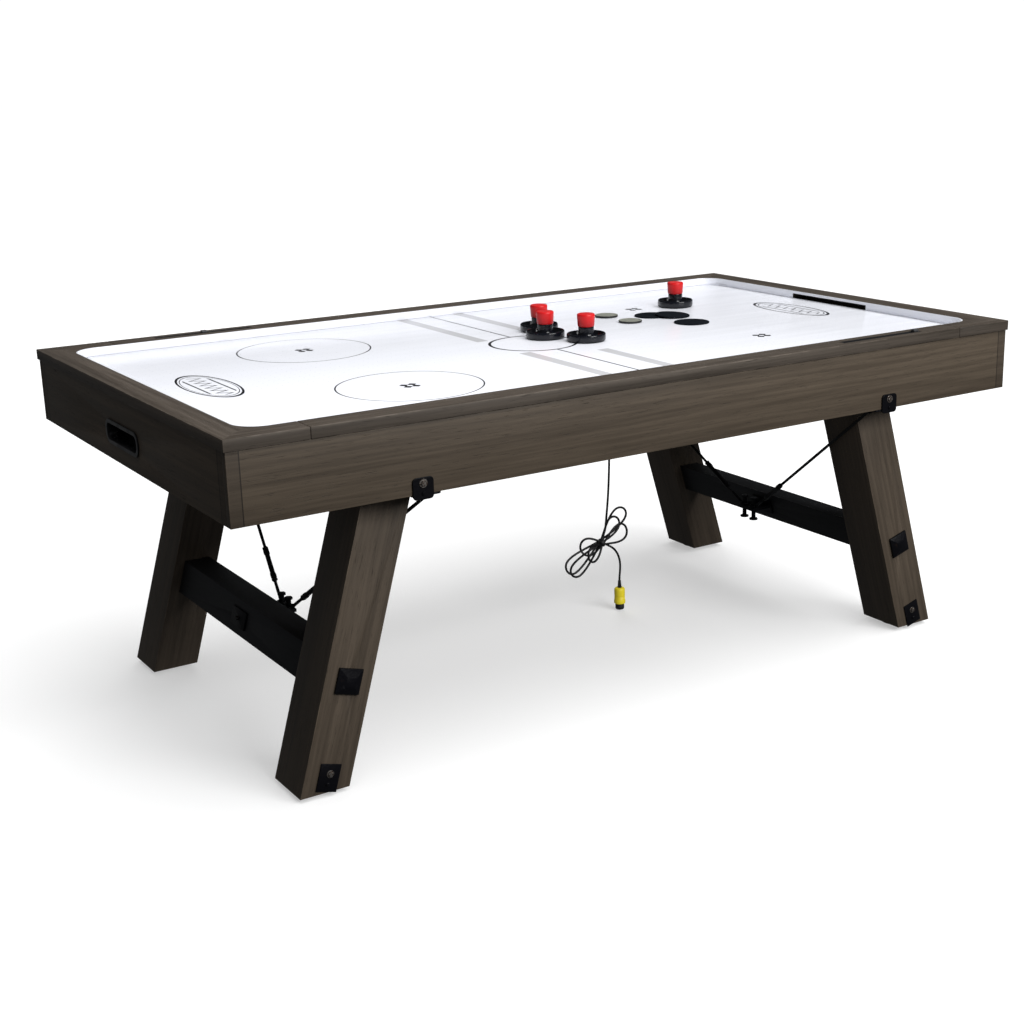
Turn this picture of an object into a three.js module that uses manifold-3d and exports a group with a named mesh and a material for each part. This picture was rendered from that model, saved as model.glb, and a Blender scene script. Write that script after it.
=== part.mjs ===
// Air hockey table: a wooden cabinet with a white rink, on two splayed-leg trestles.
// Millimetres, +Z up, +X along the rink. The origin is on the floor, under the middle of the table.
import * as THREE from 'three';
import { mergeVertices } from 'three/addons/utils/BufferGeometryUtils.js';
import Module from 'manifold-3d';

const wasm = await Module();
wasm.setup();

// ---- Driving dimensions ----
const TABLE_LENGTH = 2134;
const TABLE_WIDTH = 1219;
const TABLE_HEIGHT = 826;
const GAP = 0.3; // between touching pieces
const ARC_STEPS = 8; // curve divisions of the outlines' arcs

// Top rail and aprons
const RAIL_WIDTH = 64;
const RAIL_THICKNESS = 25;
const RAIL_OVERHANG = 4; // rail past the apron's outer face
const RAIL_SEAM_INSET = 179; // from the table's end to the joint in each long rail
const SEAM_WIDTH = 0.8;
const APRON_HEIGHT = 151;
const APRON_THICKNESS = 18;

// Rink
const RINK_DEPTH = 22; // rail top down to the playfield
const PLAYFIELD_THICKNESS = 12;
const WALL_THICKNESS = 4; // white lining of the rink's edge
const WALL_TOP_INSET = 1; // lining below the rail's top
const CORNER_RADIUS = 60; // inner corner of the rail

// Goals and puck returns
const GOAL_LENGTH = 308;
const GOAL_HEIGHT = 14;
const GOAL_RECESS = 40; // how far the slot reaches under the rail
const RETURN_LENGTH = 212;
const RETURN_HEIGHT = 56;
const RETURN_HEIGHT_OFF_APRON = 38; // apron's bottom edge to the bezel's bottom
const RETURN_ROUNDING = 0.43; // corner radius for each unit of the bezel's height
const BEZEL_LIP = 9; // width of the bezel's flange
const BEZEL_FLANGE = 3;
const BEZEL_NECK_WALL = 2;
const TRAY_DEPTH = 118;
const TRAY_WALL = 5;
const TRAY_CLEAT_GAP = 10; // between the tray and the frame's end cleats

// Cabinet frame and air chamber
const FRAME_SIDE_WIDTH = 80;
const FRAME_DEPTH = 46;
const CROSSBEAM_WIDTH = 122;
const CROSSBEAM_DEPTH = 101;
const MIDBEAM_WIDTH = 60;
const MIDBEAM_X = -160;
const END_CLEAT_WIDTH = 40;
const PANEL_THICKNESS = 5.5;

// Scorers
const SCORER_LENGTH = 260;
const SCORER_WIDTH = 20;
const SCORER_DEPTH = 6;
const SCORER_FROM_SEAM = 112; // from the rail's joint to the scorer's end
const SCORER_GROOVE_WIDTH = 8;
const SCORER_GROOVE_DEPTH = 4;
const SCORER_END = 6; // solid end of the track past its groove
const SLIDER_LENGTH = 14;
const SLIDER_WIDTH = 13;
const SLIDER_HEIGHT = 6;
const SLIDER_CLEARANCE = 0.4;
const SLIDER_END_GAP = 2; // from the groove's end to the marker at rest

// Trestles
const LEG_WIDTH = 114; // along X
const LEG_DEPTH = 132; // along Y
const LEG_FOOT_INSET = 139; // table's end to the leg's outer corner at the floor
const LEG_SIDE_INSET = 97.5; // table's side to the leg's outer face
const LEG_SLOPE = 0.292; // lean in X for each unit of height
const STRETCHER_WIDTH = 64;
const STRETCHER_HEIGHT = 78;
const STRETCHER_CENTRE_Z = 248;

// Leg bolts with pyramid caps
const CAP_SIZE = 56;
const CAP_PLATE = 5;
const CAP_PEAK = 9;
const CAP_PEAK_SIZE = 22;
const BOLT_RADIUS = 6;
const BOLT_CLEARANCE = 0.4;
const BOLT_BITE = 45; // length of bolt in the stretcher

// Levelling feet
const FOOT_PAD_HEIGHT = 9.5;
const FOOT_PAD_RADIUS = 42;
const FOOT_STEM_RADIUS = 6;
const FOOT_STEM_LENGTH = 42;
const FOOT_BORE_DEPTH = 46;

// Braces from the aprons to the stretchers
const BRACE_LEG_GAP = 7; // from the leg's inner face to the rod's start
const BRACE_PLATE_OFFSET = 34; // plate's middle outboard of the rod
const BRACE_PLATE_WIDTH = 48;
const BRACE_PLATE_HEIGHT = 37; // up the apron from its bottom edge
const BRACE_PLATE_THICKNESS = 4;
const BRACE_LIP = 34; // under the apron
const BRACE_LIP_MARGIN = 10; // lip past the rod's start, inboard
const BRACE_ROD_RADIUS = 4;
const BRACE_SLEEVE_RADIUS = 7.5;
const BRACE_SLEEVE_LENGTH = 90;
const BRACE_SLEEVE_FROM_END = 70;
const BRACE_APRON_LIP = 6; // plate's outer leaf below its inner one
const BRACE_STUB = 2; // extra radius and length of the rod's socket
const BRACE_BOLT_RADIUS = 8;
const BRACE_BOLT_HEIGHT = 5;
const ANCHOR_REACH = 52; // pin's axis from the stretcher's inner face
const ANCHOR_PLATE_LENGTH = 80;
const ANCHOR_PLATE_HEIGHT = 40;
const ANCHOR_PLATE_THICKNESS = 4;
const ANCHOR_PIN_RADIUS = 6;
const ANCHOR_PIN_LENGTH = 64;
const ANCHOR_PIN_SPACING = 40;
const ANCHOR_TONGUE_MARGIN = 13; // tongue past the pins' axes
const ANCHOR_TONGUE_THICKNESS = 8;
const ANCHOR_DISC_RADIUS = 12;
const ANCHOR_DISC_HEIGHT = 4;
const ANCHOR_NUT_RADIUS = 10;
const ANCHOR_NUT_HEIGHT = 6;
const ANCHOR_BOLT_RADIUS = 5;

// Blower
const BLOWER_X = 190;
const BLOWER_Y = 79;
const BLOWER_RADIUS = 84;
const BLOWER_HEIGHT = 66;
const BLOWER_WALL = 3;
const BLOWER_FLANGE = 12;
const BLOWER_SIDES = 28;
const BLOWER_INLET_RADIUS = 52;
const IMPELLER_SIDE_CLEARANCE = 11;
const IMPELLER_END_CLEARANCE = 9.5;
const IMPELLER_BLADE_SPAN = 16;
const IMPELLER_BLADE_THICKNESS = 1.6;
const IMPELLER_BLADE_ANGLE = 0.6;
const IMPELLER_BLADES = 12;
const IMPELLER_PLATE = 3;
const IMPELLER_HUB_WALL = 6;
const MOTOR_RADIUS = 26;
const MOTOR_HEIGHT = 24;
const SHAFT_RADIUS = 4;
const SHAFT_CLEARANCE = 0.4;
const GLAND_BLOCK = 14; // half-size of the boss that the cord leaves
const GLAND_RADIUS = 8;
const GLAND_TIP_RADIUS = 4.6;
const GLAND_LENGTH = 42;
const GUARD_BAR = 4;
const GUARD_RING_GAP = 12; // guard's ring past the motor's radius
const GUARD_DISC_RADIUS = 20;
const AIR_PORT_MARGIN = 9; // blower's radius past the air port's

// Power cord
const CORD_RADIUS = 3;
const HANK_LENGTH = 236;
const HANK_WIDTH = 46;
const HANK_THICKNESS = 20;
const HANK_TILT = THREE.MathUtils.degToRad(38);
const HANK_OFFSET = -34; // hank's middle and plug's axis along X from the cord's exit
const PLUG_OFFSET = 27;
const HANK_Z = 206;
const PLUG_BODY_RADIUS = 16;
const PLUG_BODY_TOP = 66;
const PLUG_COLLAR_RADIUS = 12.5;
const PLUG_COLLAR_TOP = 20;
const PLUG_BOTTOM = 3;
const PLUG_NECK_RADIUS = 5;
const PLUG_NECK_TOP = 86;

// Loose pieces on the rink
const PUSHER_RADIUS = 50;
const PUSHER_RIM_HEIGHT = 20;
const PUSHER_RIM_WALL = 5;
const PUSHER_FLOOR = 6;
const PUSHER_NECK_RADIUS = 20;
const PUSHER_NECK_HEIGHT = 36;
const KNOB_RADIUS = 23;
const KNOB_HEIGHT = 33;
const KNOB_SPIGOT_RADIUS = 12;
const KNOB_SPIGOT_DEPTH = 12;
const KNOB_TAPER = 2;
const KNOB_ROUNDING = 6;
const PUCK_RADIUS = 32;
const PUCK_THICKNESS = 6;
const PAD_RADIUS = 48;
const PAD_THICKNESS = 3;
const LONE_PUSHER = [640, 250];
const FIRST_PUSHER = [112, 147];
const PUSHER_STEPS = [[-0.46, -1.02], [0.58, -1.02]]; // to the next pushers, in base diameters
const PUCK_PLACES = [[380, 222], [378, 106]];
const PAD_PLACES = [[484, 152], [524, 110], [500, -8]];

// ---- Levels and places that follow from the driving dimensions ----
const railBottom = TABLE_HEIGHT - RAIL_THICKNESS;
const apronBottom = railBottom - APRON_HEIGHT;
const playfieldTop = TABLE_HEIGHT - RINK_DEPTH;
const playfieldBottom = playfieldTop - PLAYFIELD_THICKNESS;
const halfLength = TABLE_LENGTH / 2;
const halfWidth = TABLE_WIDTH / 2;
const apronX = halfLength - RAIL_OVERHANG; // outer face of an end apron
const apronY = halfWidth - RAIL_OVERHANG; // outer face of a side apron
const openingX = halfLength - RAIL_WIDTH;
const openingY = halfWidth - RAIL_WIDTH;
const seamX = halfLength - RAIL_SEAM_INSET;
const frameTop = playfieldBottom - GAP;
const frameX = apronX - APRON_THICKNESS - GAP;
const frameY = apronY - APRON_THICKNESS - GAP;
const panelTop = frameTop - FRAME_DEPTH - GAP;
const panelBottom = panelTop - PANEL_THICKNESS;
const legTop = frameTop - CROSSBEAM_DEPTH - GAP;
const legBottom = FOOT_PAD_HEIGHT + GAP;
const legOuterY = halfWidth - LEG_SIDE_INSET;
const legInnerY = legOuterY - LEG_DEPTH;
const legAxisAt = (z) => halfLength - LEG_FOOT_INSET - LEG_WIDTH / 2 - LEG_SLOPE * z;
const crossbeamX = legAxisAt(legTop);
const braceX = legAxisAt(apronBottom) - LEG_WIDTH / 2 - BRACE_LEG_GAP;
const scorerX = seamX - SCORER_FROM_SEAM - SCORER_LENGTH / 2;
const returnZ = apronBottom + RETURN_HEIGHT_OFF_APRON + RETURN_HEIGHT / 2;

// ---- Materials ----
const material = (color, roughness, metalness = 0) =>
  new THREE.MeshStandardMaterial({ color, roughness, metalness });
const LOOKS = {
  rail: () => material(0x6b645c, 0.6),
  wood: () => material(0x4a4038, 0.62),
  darkWood: () => material(0x2c2a2c, 0.6),
  bareWood: () => material(0xb39a76, 0.8),
  panel: () => material(0x8a6a48, 0.85),
  rink: () => material(0xf2f3f8, 0.22),
  blackPlastic: () => material(0x141418, 0.45),
  blackMetal: () => material(0x1a1c24, 0.42, 0.7),
  steel: () => material(0x8d9096, 0.35, 0.9),
  red: () => material(0xe01b1f, 0.35),
  puck: () => material(0xb4b6ac, 0.4),
  felt: () => material(0x1c1d1e, 0.95),
  cord: () => material(0x0d0d0f, 0.5),
  plug: () => material(0xe8d21c, 0.4),
};

// ---- Geometry helpers ----
const toSolid = (geometry) => {
  const bare = geometry.clone();
  bare.deleteAttribute('normal');
  bare.deleteAttribute('uv');
  const merged = mergeVertices(bare, 1e-4);
  return new wasm.Manifold(new wasm.Mesh({
    numProp: 3,
    vertProperties: new Float32Array(merged.attributes.position.array),
    triVerts: new Uint32Array(merged.index.array),
  }));
};

const toGeometry = (solid) => {
  const mesh = solid.getMesh();
  const geometry = new THREE.BufferGeometry();
  geometry.setAttribute('position', new THREE.BufferAttribute(mesh.vertProperties, 3));
  geometry.setIndex(new THREE.BufferAttribute(mesh.triVerts, 1));
  geometry.computeVertexNormals();
  return geometry;
};

const join = (...geometries) => toGeometry(geometries.map(toSolid).reduce((a, b) => a.add(b)));

const cut = (geometry, ...tools) =>
  toGeometry(tools.map(toSolid).reduce((a, b) => a.subtract(b), toSolid(geometry)));

// A box between two corners.
const block = (x0, x1, y0, y1, z0, z1) =>
  new THREE.BoxGeometry(x1 - x0, y1 - y0, z1 - z0)
    .translate((x0 + x1) / 2, (y0 + y1) / 2, (z0 + z1) / 2);

// An upright prism of an outline in XY.
const prism = (shape, z0, z1) =>
  new THREE.ExtrudeGeometry(shape, { depth: z1 - z0, bevelEnabled: false, curveSegments: ARC_STEPS })
    .translate(0, 0, z0);

const roundedRectangle = (halfX, halfY, radius) => {
  const shape = new THREE.Shape();
  shape.moveTo(halfX, -halfY + radius);
  shape.lineTo(halfX, halfY - radius);
  shape.absarc(halfX - radius, halfY - radius, radius, 0, Math.PI / 2);
  shape.absarc(-halfX + radius, halfY - radius, radius, Math.PI / 2, Math.PI);
  shape.absarc(-halfX + radius, -halfY + radius, radius, Math.PI, Math.PI * 1.5);
  shape.absarc(halfX - radius, -halfY + radius, radius, Math.PI * 1.5, Math.PI * 2);
  return shape;
};

// A round bar or disc standing on z0.
const rod = (x, y, z0, z1, radius, sides = 20) =>
  new THREE.CylinderGeometry(radius, radius, z1 - z0, sides)
    .rotateX(Math.PI / 2).translate(x, y, (z0 + z1) / 2);

// A round bar between two points.
const bar = (from, to, radius, sides = 12) => {
  const way = new THREE.Vector3().subVectors(to, from);
  const turn = new THREE.Quaternion().setFromUnitVectors(
    new THREE.Vector3(0, 1, 0), way.clone().normalize());
  const middle = new THREE.Vector3().addVectors(from, to).multiplyScalar(0.5);
  return new THREE.CylinderGeometry(radius, radius, way.length(), sides)
    .applyQuaternion(turn).translate(middle.x, middle.y, middle.z);
};

// A turned piece; each profile point is [radius, height].
const turned = (profile, sides = 24) =>
  new THREE.LatheGeometry(profile.map(([r, z]) => new THREE.Vector2(r, z)), sides)
    .rotateX(Math.PI / 2);

// A bar along Y whose XZ outline is given.
const barAlongY = (outline, y0, y1) =>
  new THREE.ExtrudeGeometry(new THREE.Shape(outline.map(([x, z]) => new THREE.Vector2(x, z))),
    { depth: y1 - y0, bevelEnabled: false })
    .rotateX(Math.PI / 2).translate(0, y1, 0);

const table = new THREE.Group();

const place = (parent, name, geometry, look, x = 0, y = 0, z = 0) => {
  const mesh = new THREE.Mesh(geometry, LOOKS[look]());
  mesh.name = name;
  mesh.position.set(x, y, z);
  parent.add(mesh);
  return mesh;
};

// ---- Top rail: two long rails and two end rails with rounded inside corners ----
const rails = new THREE.Group();
table.add(rails);

// Pocket for a scorer in the front-right or rear-left rail.
const scorerPlace = (side) => [side * scorerX, -side * (openingY + RAIL_WIDTH / 2)];
const scorerPocket = (side) => {
  const [x, y] = scorerPlace(side);
  return block(x - SCORER_LENGTH / 2, x + SCORER_LENGTH / 2, y - SCORER_WIDTH / 2,
    y + SCORER_WIDTH / 2, TABLE_HEIGHT - SCORER_DEPTH, TABLE_HEIGHT + 1);
};

for (const side of [1, -1]) {
  const near = Math.min(-side * openingY, -side * halfWidth);
  const rail = block(-seamX, seamX, near, near + RAIL_WIDTH, railBottom, TABLE_HEIGHT);
  place(rails, side > 0 ? 'rail_front' : 'rail_rear', cut(rail, scorerPocket(side)), 'rail');
}

const endRailShape = () => {
  const start = seamX + SEAM_WIDTH;
  const shape = new THREE.Shape();
  shape.moveTo(start, -halfWidth);
  shape.lineTo(halfLength, -halfWidth);
  shape.lineTo(halfLength, halfWidth);
  shape.lineTo(start, halfWidth);
  shape.lineTo(start, openingY);
  shape.absarc(openingX - CORNER_RADIUS, openingY - CORNER_RADIUS, CORNER_RADIUS, Math.PI / 2, 0, true);
  shape.absarc(openingX - CORNER_RADIUS, -openingY + CORNER_RADIUS, CORNER_RADIUS, 0, -Math.PI / 2, true);
  shape.lineTo(start, -openingY);
  return shape;
};

const goalSlot = (from, to) =>
  block(from, to, -GOAL_LENGTH / 2, GOAL_LENGTH / 2, railBottom - 1, playfieldTop + GOAL_HEIGHT);

const endRail = () => cut(prism(endRailShape(), railBottom, TABLE_HEIGHT),
  goalSlot(openingX - 1, openingX + GOAL_RECESS));
place(rails, 'rail_right', endRail(), 'rail');
place(rails, 'rail_left', endRail(), 'rail').rotation.z = Math.PI;

// ---- Aprons: two sides, and two ends cut for the puck returns ----
const aprons = new THREE.Group();
table.add(aprons);
const apronTop = railBottom - GAP;
for (const side of [-1, 1]) {
  const inner = side * (apronY - APRON_THICKNESS);
  const outer = side * apronY;
  place(aprons, side < 0 ? 'apron_front' : 'apron_rear', block(-apronX, apronX,
    Math.min(inner, outer), Math.max(inner, outer), apronBottom, apronTop), 'wood');
}

// Stands an XY outline up on the YZ plane, run out along +X.
const standing = (shape, x0, x1) =>
  new THREE.ExtrudeGeometry(shape, { depth: x1 - x0, bevelEnabled: false, curveSegments: ARC_STEPS })
    .rotateX(Math.PI / 2).rotateZ(Math.PI / 2).translate(x0, 0, 0);

const neckOuter = BEZEL_LIP - BEZEL_NECK_WALL;
const returnShape = (inset) => roundedRectangle(RETURN_LENGTH / 2 - inset,
  RETURN_HEIGHT / 2 - inset, RETURN_HEIGHT * RETURN_ROUNDING - inset);

const endApron = () => cut(
  block(apronX - APRON_THICKNESS, apronX, -frameY, frameY, apronBottom, apronTop),
  standing(returnShape(neckOuter - GAP), apronX - APRON_THICKNESS - 1, apronX + 1)
    .translate(0, 0, returnZ));
place(aprons, 'apron_right', endApron(), 'wood');
place(aprons, 'apron_left', endApron(), 'wood').rotation.z = Math.PI;

// ---- Playfield and the white lining of the rink's edge ----
const rink = new THREE.Group();
table.add(rink);
const rinkOutline = (inset) => roundedRectangle(openingX - inset, openingY - inset, CORNER_RADIUS - inset);
place(rink, 'playfield', prism(rinkOutline(GAP), playfieldBottom, playfieldTop), 'rink');

const wallBottom = playfieldTop + GAP;
const wallTop = TABLE_HEIGHT - WALL_TOP_INSET;
place(rink, 'rink_wall', cut(
  prism(rinkOutline(GAP), wallBottom, wallTop),
  prism(rinkOutline(WALL_THICKNESS), wallBottom - 1, wallTop + 1),
  goalSlot(openingX - WALL_THICKNESS - 1, openingX + 1),
  goalSlot(-openingX - 1, -openingX + WALL_THICKNESS + 1)), 'rink');

// ---- Cabinet frame, air chamber floor ----
const cabinet = new THREE.Group();
table.add(cabinet);
const sideInnerY = frameY - FRAME_SIDE_WIDTH;
const frameBottom = frameTop - FRAME_DEPTH;
const cleatY = GOAL_LENGTH / 2 + TRAY_WALL + TRAY_CLEAT_GAP;
const crossbeam = (side) => block(side * crossbeamX - CROSSBEAM_WIDTH / 2,
  side * crossbeamX + CROSSBEAM_WIDTH / 2, -frameY, frameY, frameTop - CROSSBEAM_DEPTH, frameTop);
const endCleat = (sideX, sideY) => {
  const x = [sideX * frameX, sideX * (frameX - END_CLEAT_WIDTH)];
  const y = [sideY * frameY, sideY * cleatY];
  return block(Math.min(...x), Math.max(...x), Math.min(...y), Math.max(...y), frameBottom, frameTop);
};
place(cabinet, 'cabinet_frame', join(
  block(-frameX, frameX, -frameY, -sideInnerY, frameBottom, frameTop),
  block(-frameX, frameX, sideInnerY, frameY, frameBottom, frameTop),
  block(MIDBEAM_X - MIDBEAM_WIDTH / 2, MIDBEAM_X + MIDBEAM_WIDTH / 2, -frameY, frameY, frameBottom, frameTop),
  crossbeam(-1), crossbeam(1),
  endCleat(-1, -1), endCleat(-1, 1), endCleat(1, -1), endCleat(1, 1)), 'bareWood');

const panelX = crossbeamX - CROSSBEAM_WIDTH / 2 - GAP;
place(cabinet, 'air_chamber_floor', cut(
  block(-panelX, panelX, -frameY, frameY, panelBottom, panelTop),
  rod(BLOWER_X, BLOWER_Y, panelBottom - 1, panelTop + 1, BLOWER_RADIUS - AIR_PORT_MARGIN,
    BLOWER_SIDES)), 'panel');

// ---- Goal trays and puck-return bezels ----
const trayFloor = returnZ - RETURN_HEIGHT / 2 + BEZEL_LIP - 1;
const trayOuterX = apronX - APRON_THICKNESS - GAP;
const goalTray = () => cut(
  block(trayOuterX - TRAY_DEPTH, trayOuterX, -GOAL_LENGTH / 2 - TRAY_WALL,
    GOAL_LENGTH / 2 + TRAY_WALL, trayFloor - TRAY_WALL, frameTop),
  block(trayOuterX - TRAY_DEPTH + TRAY_WALL, trayOuterX + 1, -GOAL_LENGTH / 2, GOAL_LENGTH / 2,
    trayFloor, frameTop + 1));
place(cabinet, 'goal_tray_right', goalTray(), 'blackPlastic');
place(cabinet, 'goal_tray_left', goalTray(), 'blackPlastic').rotation.z = Math.PI;

const returnBezel = () => cut(
  join(standing(returnShape(0), apronX + GAP, apronX + GAP + BEZEL_FLANGE),
    standing(returnShape(neckOuter), apronX - APRON_THICKNESS, apronX + GAP + 1)),
  standing(returnShape(BEZEL_LIP), apronX - APRON_THICKNESS - 1, apronX + BEZEL_FLANGE + 2));
place(cabinet, 'puck_return_right', returnBezel(), 'blackPlastic', 0, 0, returnZ);
place(cabinet, 'puck_return_left', returnBezel(), 'blackPlastic', 0, 0, returnZ).rotation.z = Math.PI;

// ---- Scorers: a track let into the rail, with a sliding marker ----
const trackTop = TABLE_HEIGHT - GAP;
const trackBottom = TABLE_HEIGHT - SCORER_DEPTH + GAP;
const grooveFloor = trackTop - SCORER_GROOVE_DEPTH;
for (const side of [1, -1]) {
  const name = side > 0 ? 'front' : 'rear';
  const [x, y] = scorerPlace(side);
  const halfTrack = SCORER_LENGTH / 2 - GAP;
  const track = cut(
    block(-halfTrack, halfTrack, -SCORER_WIDTH / 2 + GAP, SCORER_WIDTH / 2 - GAP, trackBottom, trackTop),
    block(-halfTrack + SCORER_END, halfTrack - SCORER_END, -SCORER_GROOVE_WIDTH / 2,
      SCORER_GROOVE_WIDTH / 2, grooveFloor, trackTop + 1));
  place(table, `scorer_track_${name}`, track, 'blackPlastic', x, y);
  const tongue = SCORER_GROOVE_WIDTH / 2 - SLIDER_CLEARANCE;
  const slider = join(
    block(-SLIDER_LENGTH / 2, SLIDER_LENGTH / 2, -tongue, tongue, grooveFloor + GAP, trackTop + 1),
    block(-SLIDER_LENGTH / 2, SLIDER_LENGTH / 2, -SLIDER_WIDTH / 2, SLIDER_WIDTH / 2,
      trackTop + GAP, trackTop + GAP + SLIDER_HEIGHT));
  const travel = side > 0 ? halfTrack - SCORER_END - SLIDER_LENGTH / 2 - SLIDER_END_GAP : 0;
  place(table, `scorer_slider_${name}`, slider, 'steel', x + travel, y);
}

// ---- Trestles: two leaning legs, a stretcher, bolts, feet and braces at each end ----
// A leaning bar's outline between two heights, for the right-hand trestle.
const leaning = (width, z0, z1, side) => [
  [side * (legAxisAt(z0) - width / 2), z0],
  [side * (legAxisAt(z0) + width / 2), z0],
  [side * (legAxisAt(z1) + width / 2), z1],
  [side * (legAxisAt(z1) - width / 2), z1],
];
const leanAngle = Math.atan(LEG_SLOPE);
const stretcherBottom = STRETCHER_CENTRE_Z - STRETCHER_HEIGHT / 2;
const boltX = legAxisAt(STRETCHER_CENTRE_Z);
const footX = legAxisAt(legBottom);
const stretcherHalf = legInnerY - GAP;
const boltHole = BOLT_RADIUS + BOLT_CLEARANCE;
const stemHole = FOOT_STEM_RADIUS + BOLT_CLEARANCE;

const boltAt = (x, y0, y1, radius) =>
  bar(new THREE.Vector3(x, y0, STRETCHER_CENTRE_Z), new THREE.Vector3(x, y1, STRETCHER_CENTRE_Z), radius, 12);

// A square plate with a low pyramid and the bolt behind it, facing away along side * Y.
const capBolt = (sideX, sideY) => {
  const half = CAP_SIZE / 2;
  const plate = block(-half, half, 0, CAP_PLATE, -half, half);
  const turn = Math.PI / 4;
  const pyramid = new THREE.CylinderGeometry(CAP_PEAK_SIZE / Math.SQRT2, half * Math.SQRT2, CAP_PEAK, 4)
    .rotateY(turn).translate(0, CAP_PLATE + CAP_PEAK / 2 - 0.01, 0);
  const head = join(plate, pyramid);
  if (sideY < 0) head.rotateZ(Math.PI);
  head.rotateY(-sideX * leanAngle).translate(sideX * boltX, sideY * (legOuterY + GAP), STRETCHER_CENTRE_Z);
  const inner = sideY * (stretcherHalf - BOLT_BITE);
  return join(head, boltAt(sideX * boltX, inner, sideY * (legOuterY + 1), BOLT_RADIUS));
};

const levellingFoot = () => join(
  rod(0, 0, 0, FOOT_PAD_HEIGHT, FOOT_PAD_RADIUS, 24),
  rod(0, 0, 1, FOOT_PAD_HEIGHT + FOOT_STEM_LENGTH, FOOT_STEM_RADIUS, 12));

// The plate on a stretcher whose two pins hold the brace rods' eyes.
const anchorZ = STRETCHER_CENTRE_Z;
const anchorX = legAxisAt(anchorZ) - STRETCHER_WIDTH / 2 - ANCHOR_REACH;
const pinTop = anchorZ + ANCHOR_PIN_LENGTH / 2;
const pinBottom = anchorZ - ANCHOR_PIN_LENGTH / 2;
const pinY = ANCHOR_PIN_SPACING / 2;
const braceAnchor = (side) => {
  const faceX = STRETCHER_WIDTH / 2 + GAP;
  const halfPlate = ANCHOR_PLATE_HEIGHT / 2;
  const plateOutline = (from) => [
    [side * (legAxisAt(anchorZ - halfPlate) + from), anchorZ - halfPlate],
    [side * (legAxisAt(anchorZ - halfPlate) + from + ANCHOR_PLATE_THICKNESS), anchorZ - halfPlate],
    [side * (legAxisAt(anchorZ + halfPlate) + from + ANCHOR_PLATE_THICKNESS), anchorZ + halfPlate],
    [side * (legAxisAt(anchorZ + halfPlate) + from), anchorZ + halfPlate],
  ];
  const plate = (from) => barAlongY(side > 0 ? plateOutline(from) : plateOutline(from).reverse(),
    -ANCHOR_PLATE_LENGTH / 2, ANCHOR_PLATE_LENGTH / 2);
  const through = bar(new THREE.Vector3(side * anchorX, 0, anchorZ),
    new THREE.Vector3(side * (legAxisAt(anchorZ) + faceX + ANCHOR_PLATE_THICKNESS + ANCHOR_NUT_HEIGHT),
      0, anchorZ),
    ANCHOR_BOLT_RADIUS, 12);
  const tongueEnd = legAxisAt(anchorZ) - faceX - 1;
  const tongueX = [side * (anchorX - ANCHOR_TONGUE_MARGIN), side * tongueEnd];
  const tongueY = pinY + ANCHOR_TONGUE_MARGIN;
  const pin = (y) => join(
    rod(side * anchorX, y, pinBottom, pinTop, ANCHOR_PIN_RADIUS, 12),
    rod(side * anchorX, y, pinBottom, pinBottom + ANCHOR_DISC_HEIGHT, ANCHOR_DISC_RADIUS, 16),
    rod(side * anchorX, y, pinTop - ANCHOR_NUT_HEIGHT, pinTop, ANCHOR_NUT_RADIUS, 6));
  return join(
    plate(faceX),
    plate(-faceX - ANCHOR_PLATE_THICKNESS),
    through,
    block(Math.min(...tongueX), Math.max(...tongueX), -tongueY, tongueY,
      anchorZ - ANCHOR_TONGUE_THICKNESS / 2, anchorZ + ANCHOR_TONGUE_THICKNESS / 2),
    pin(-pinY), pin(pinY));
};

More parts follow.
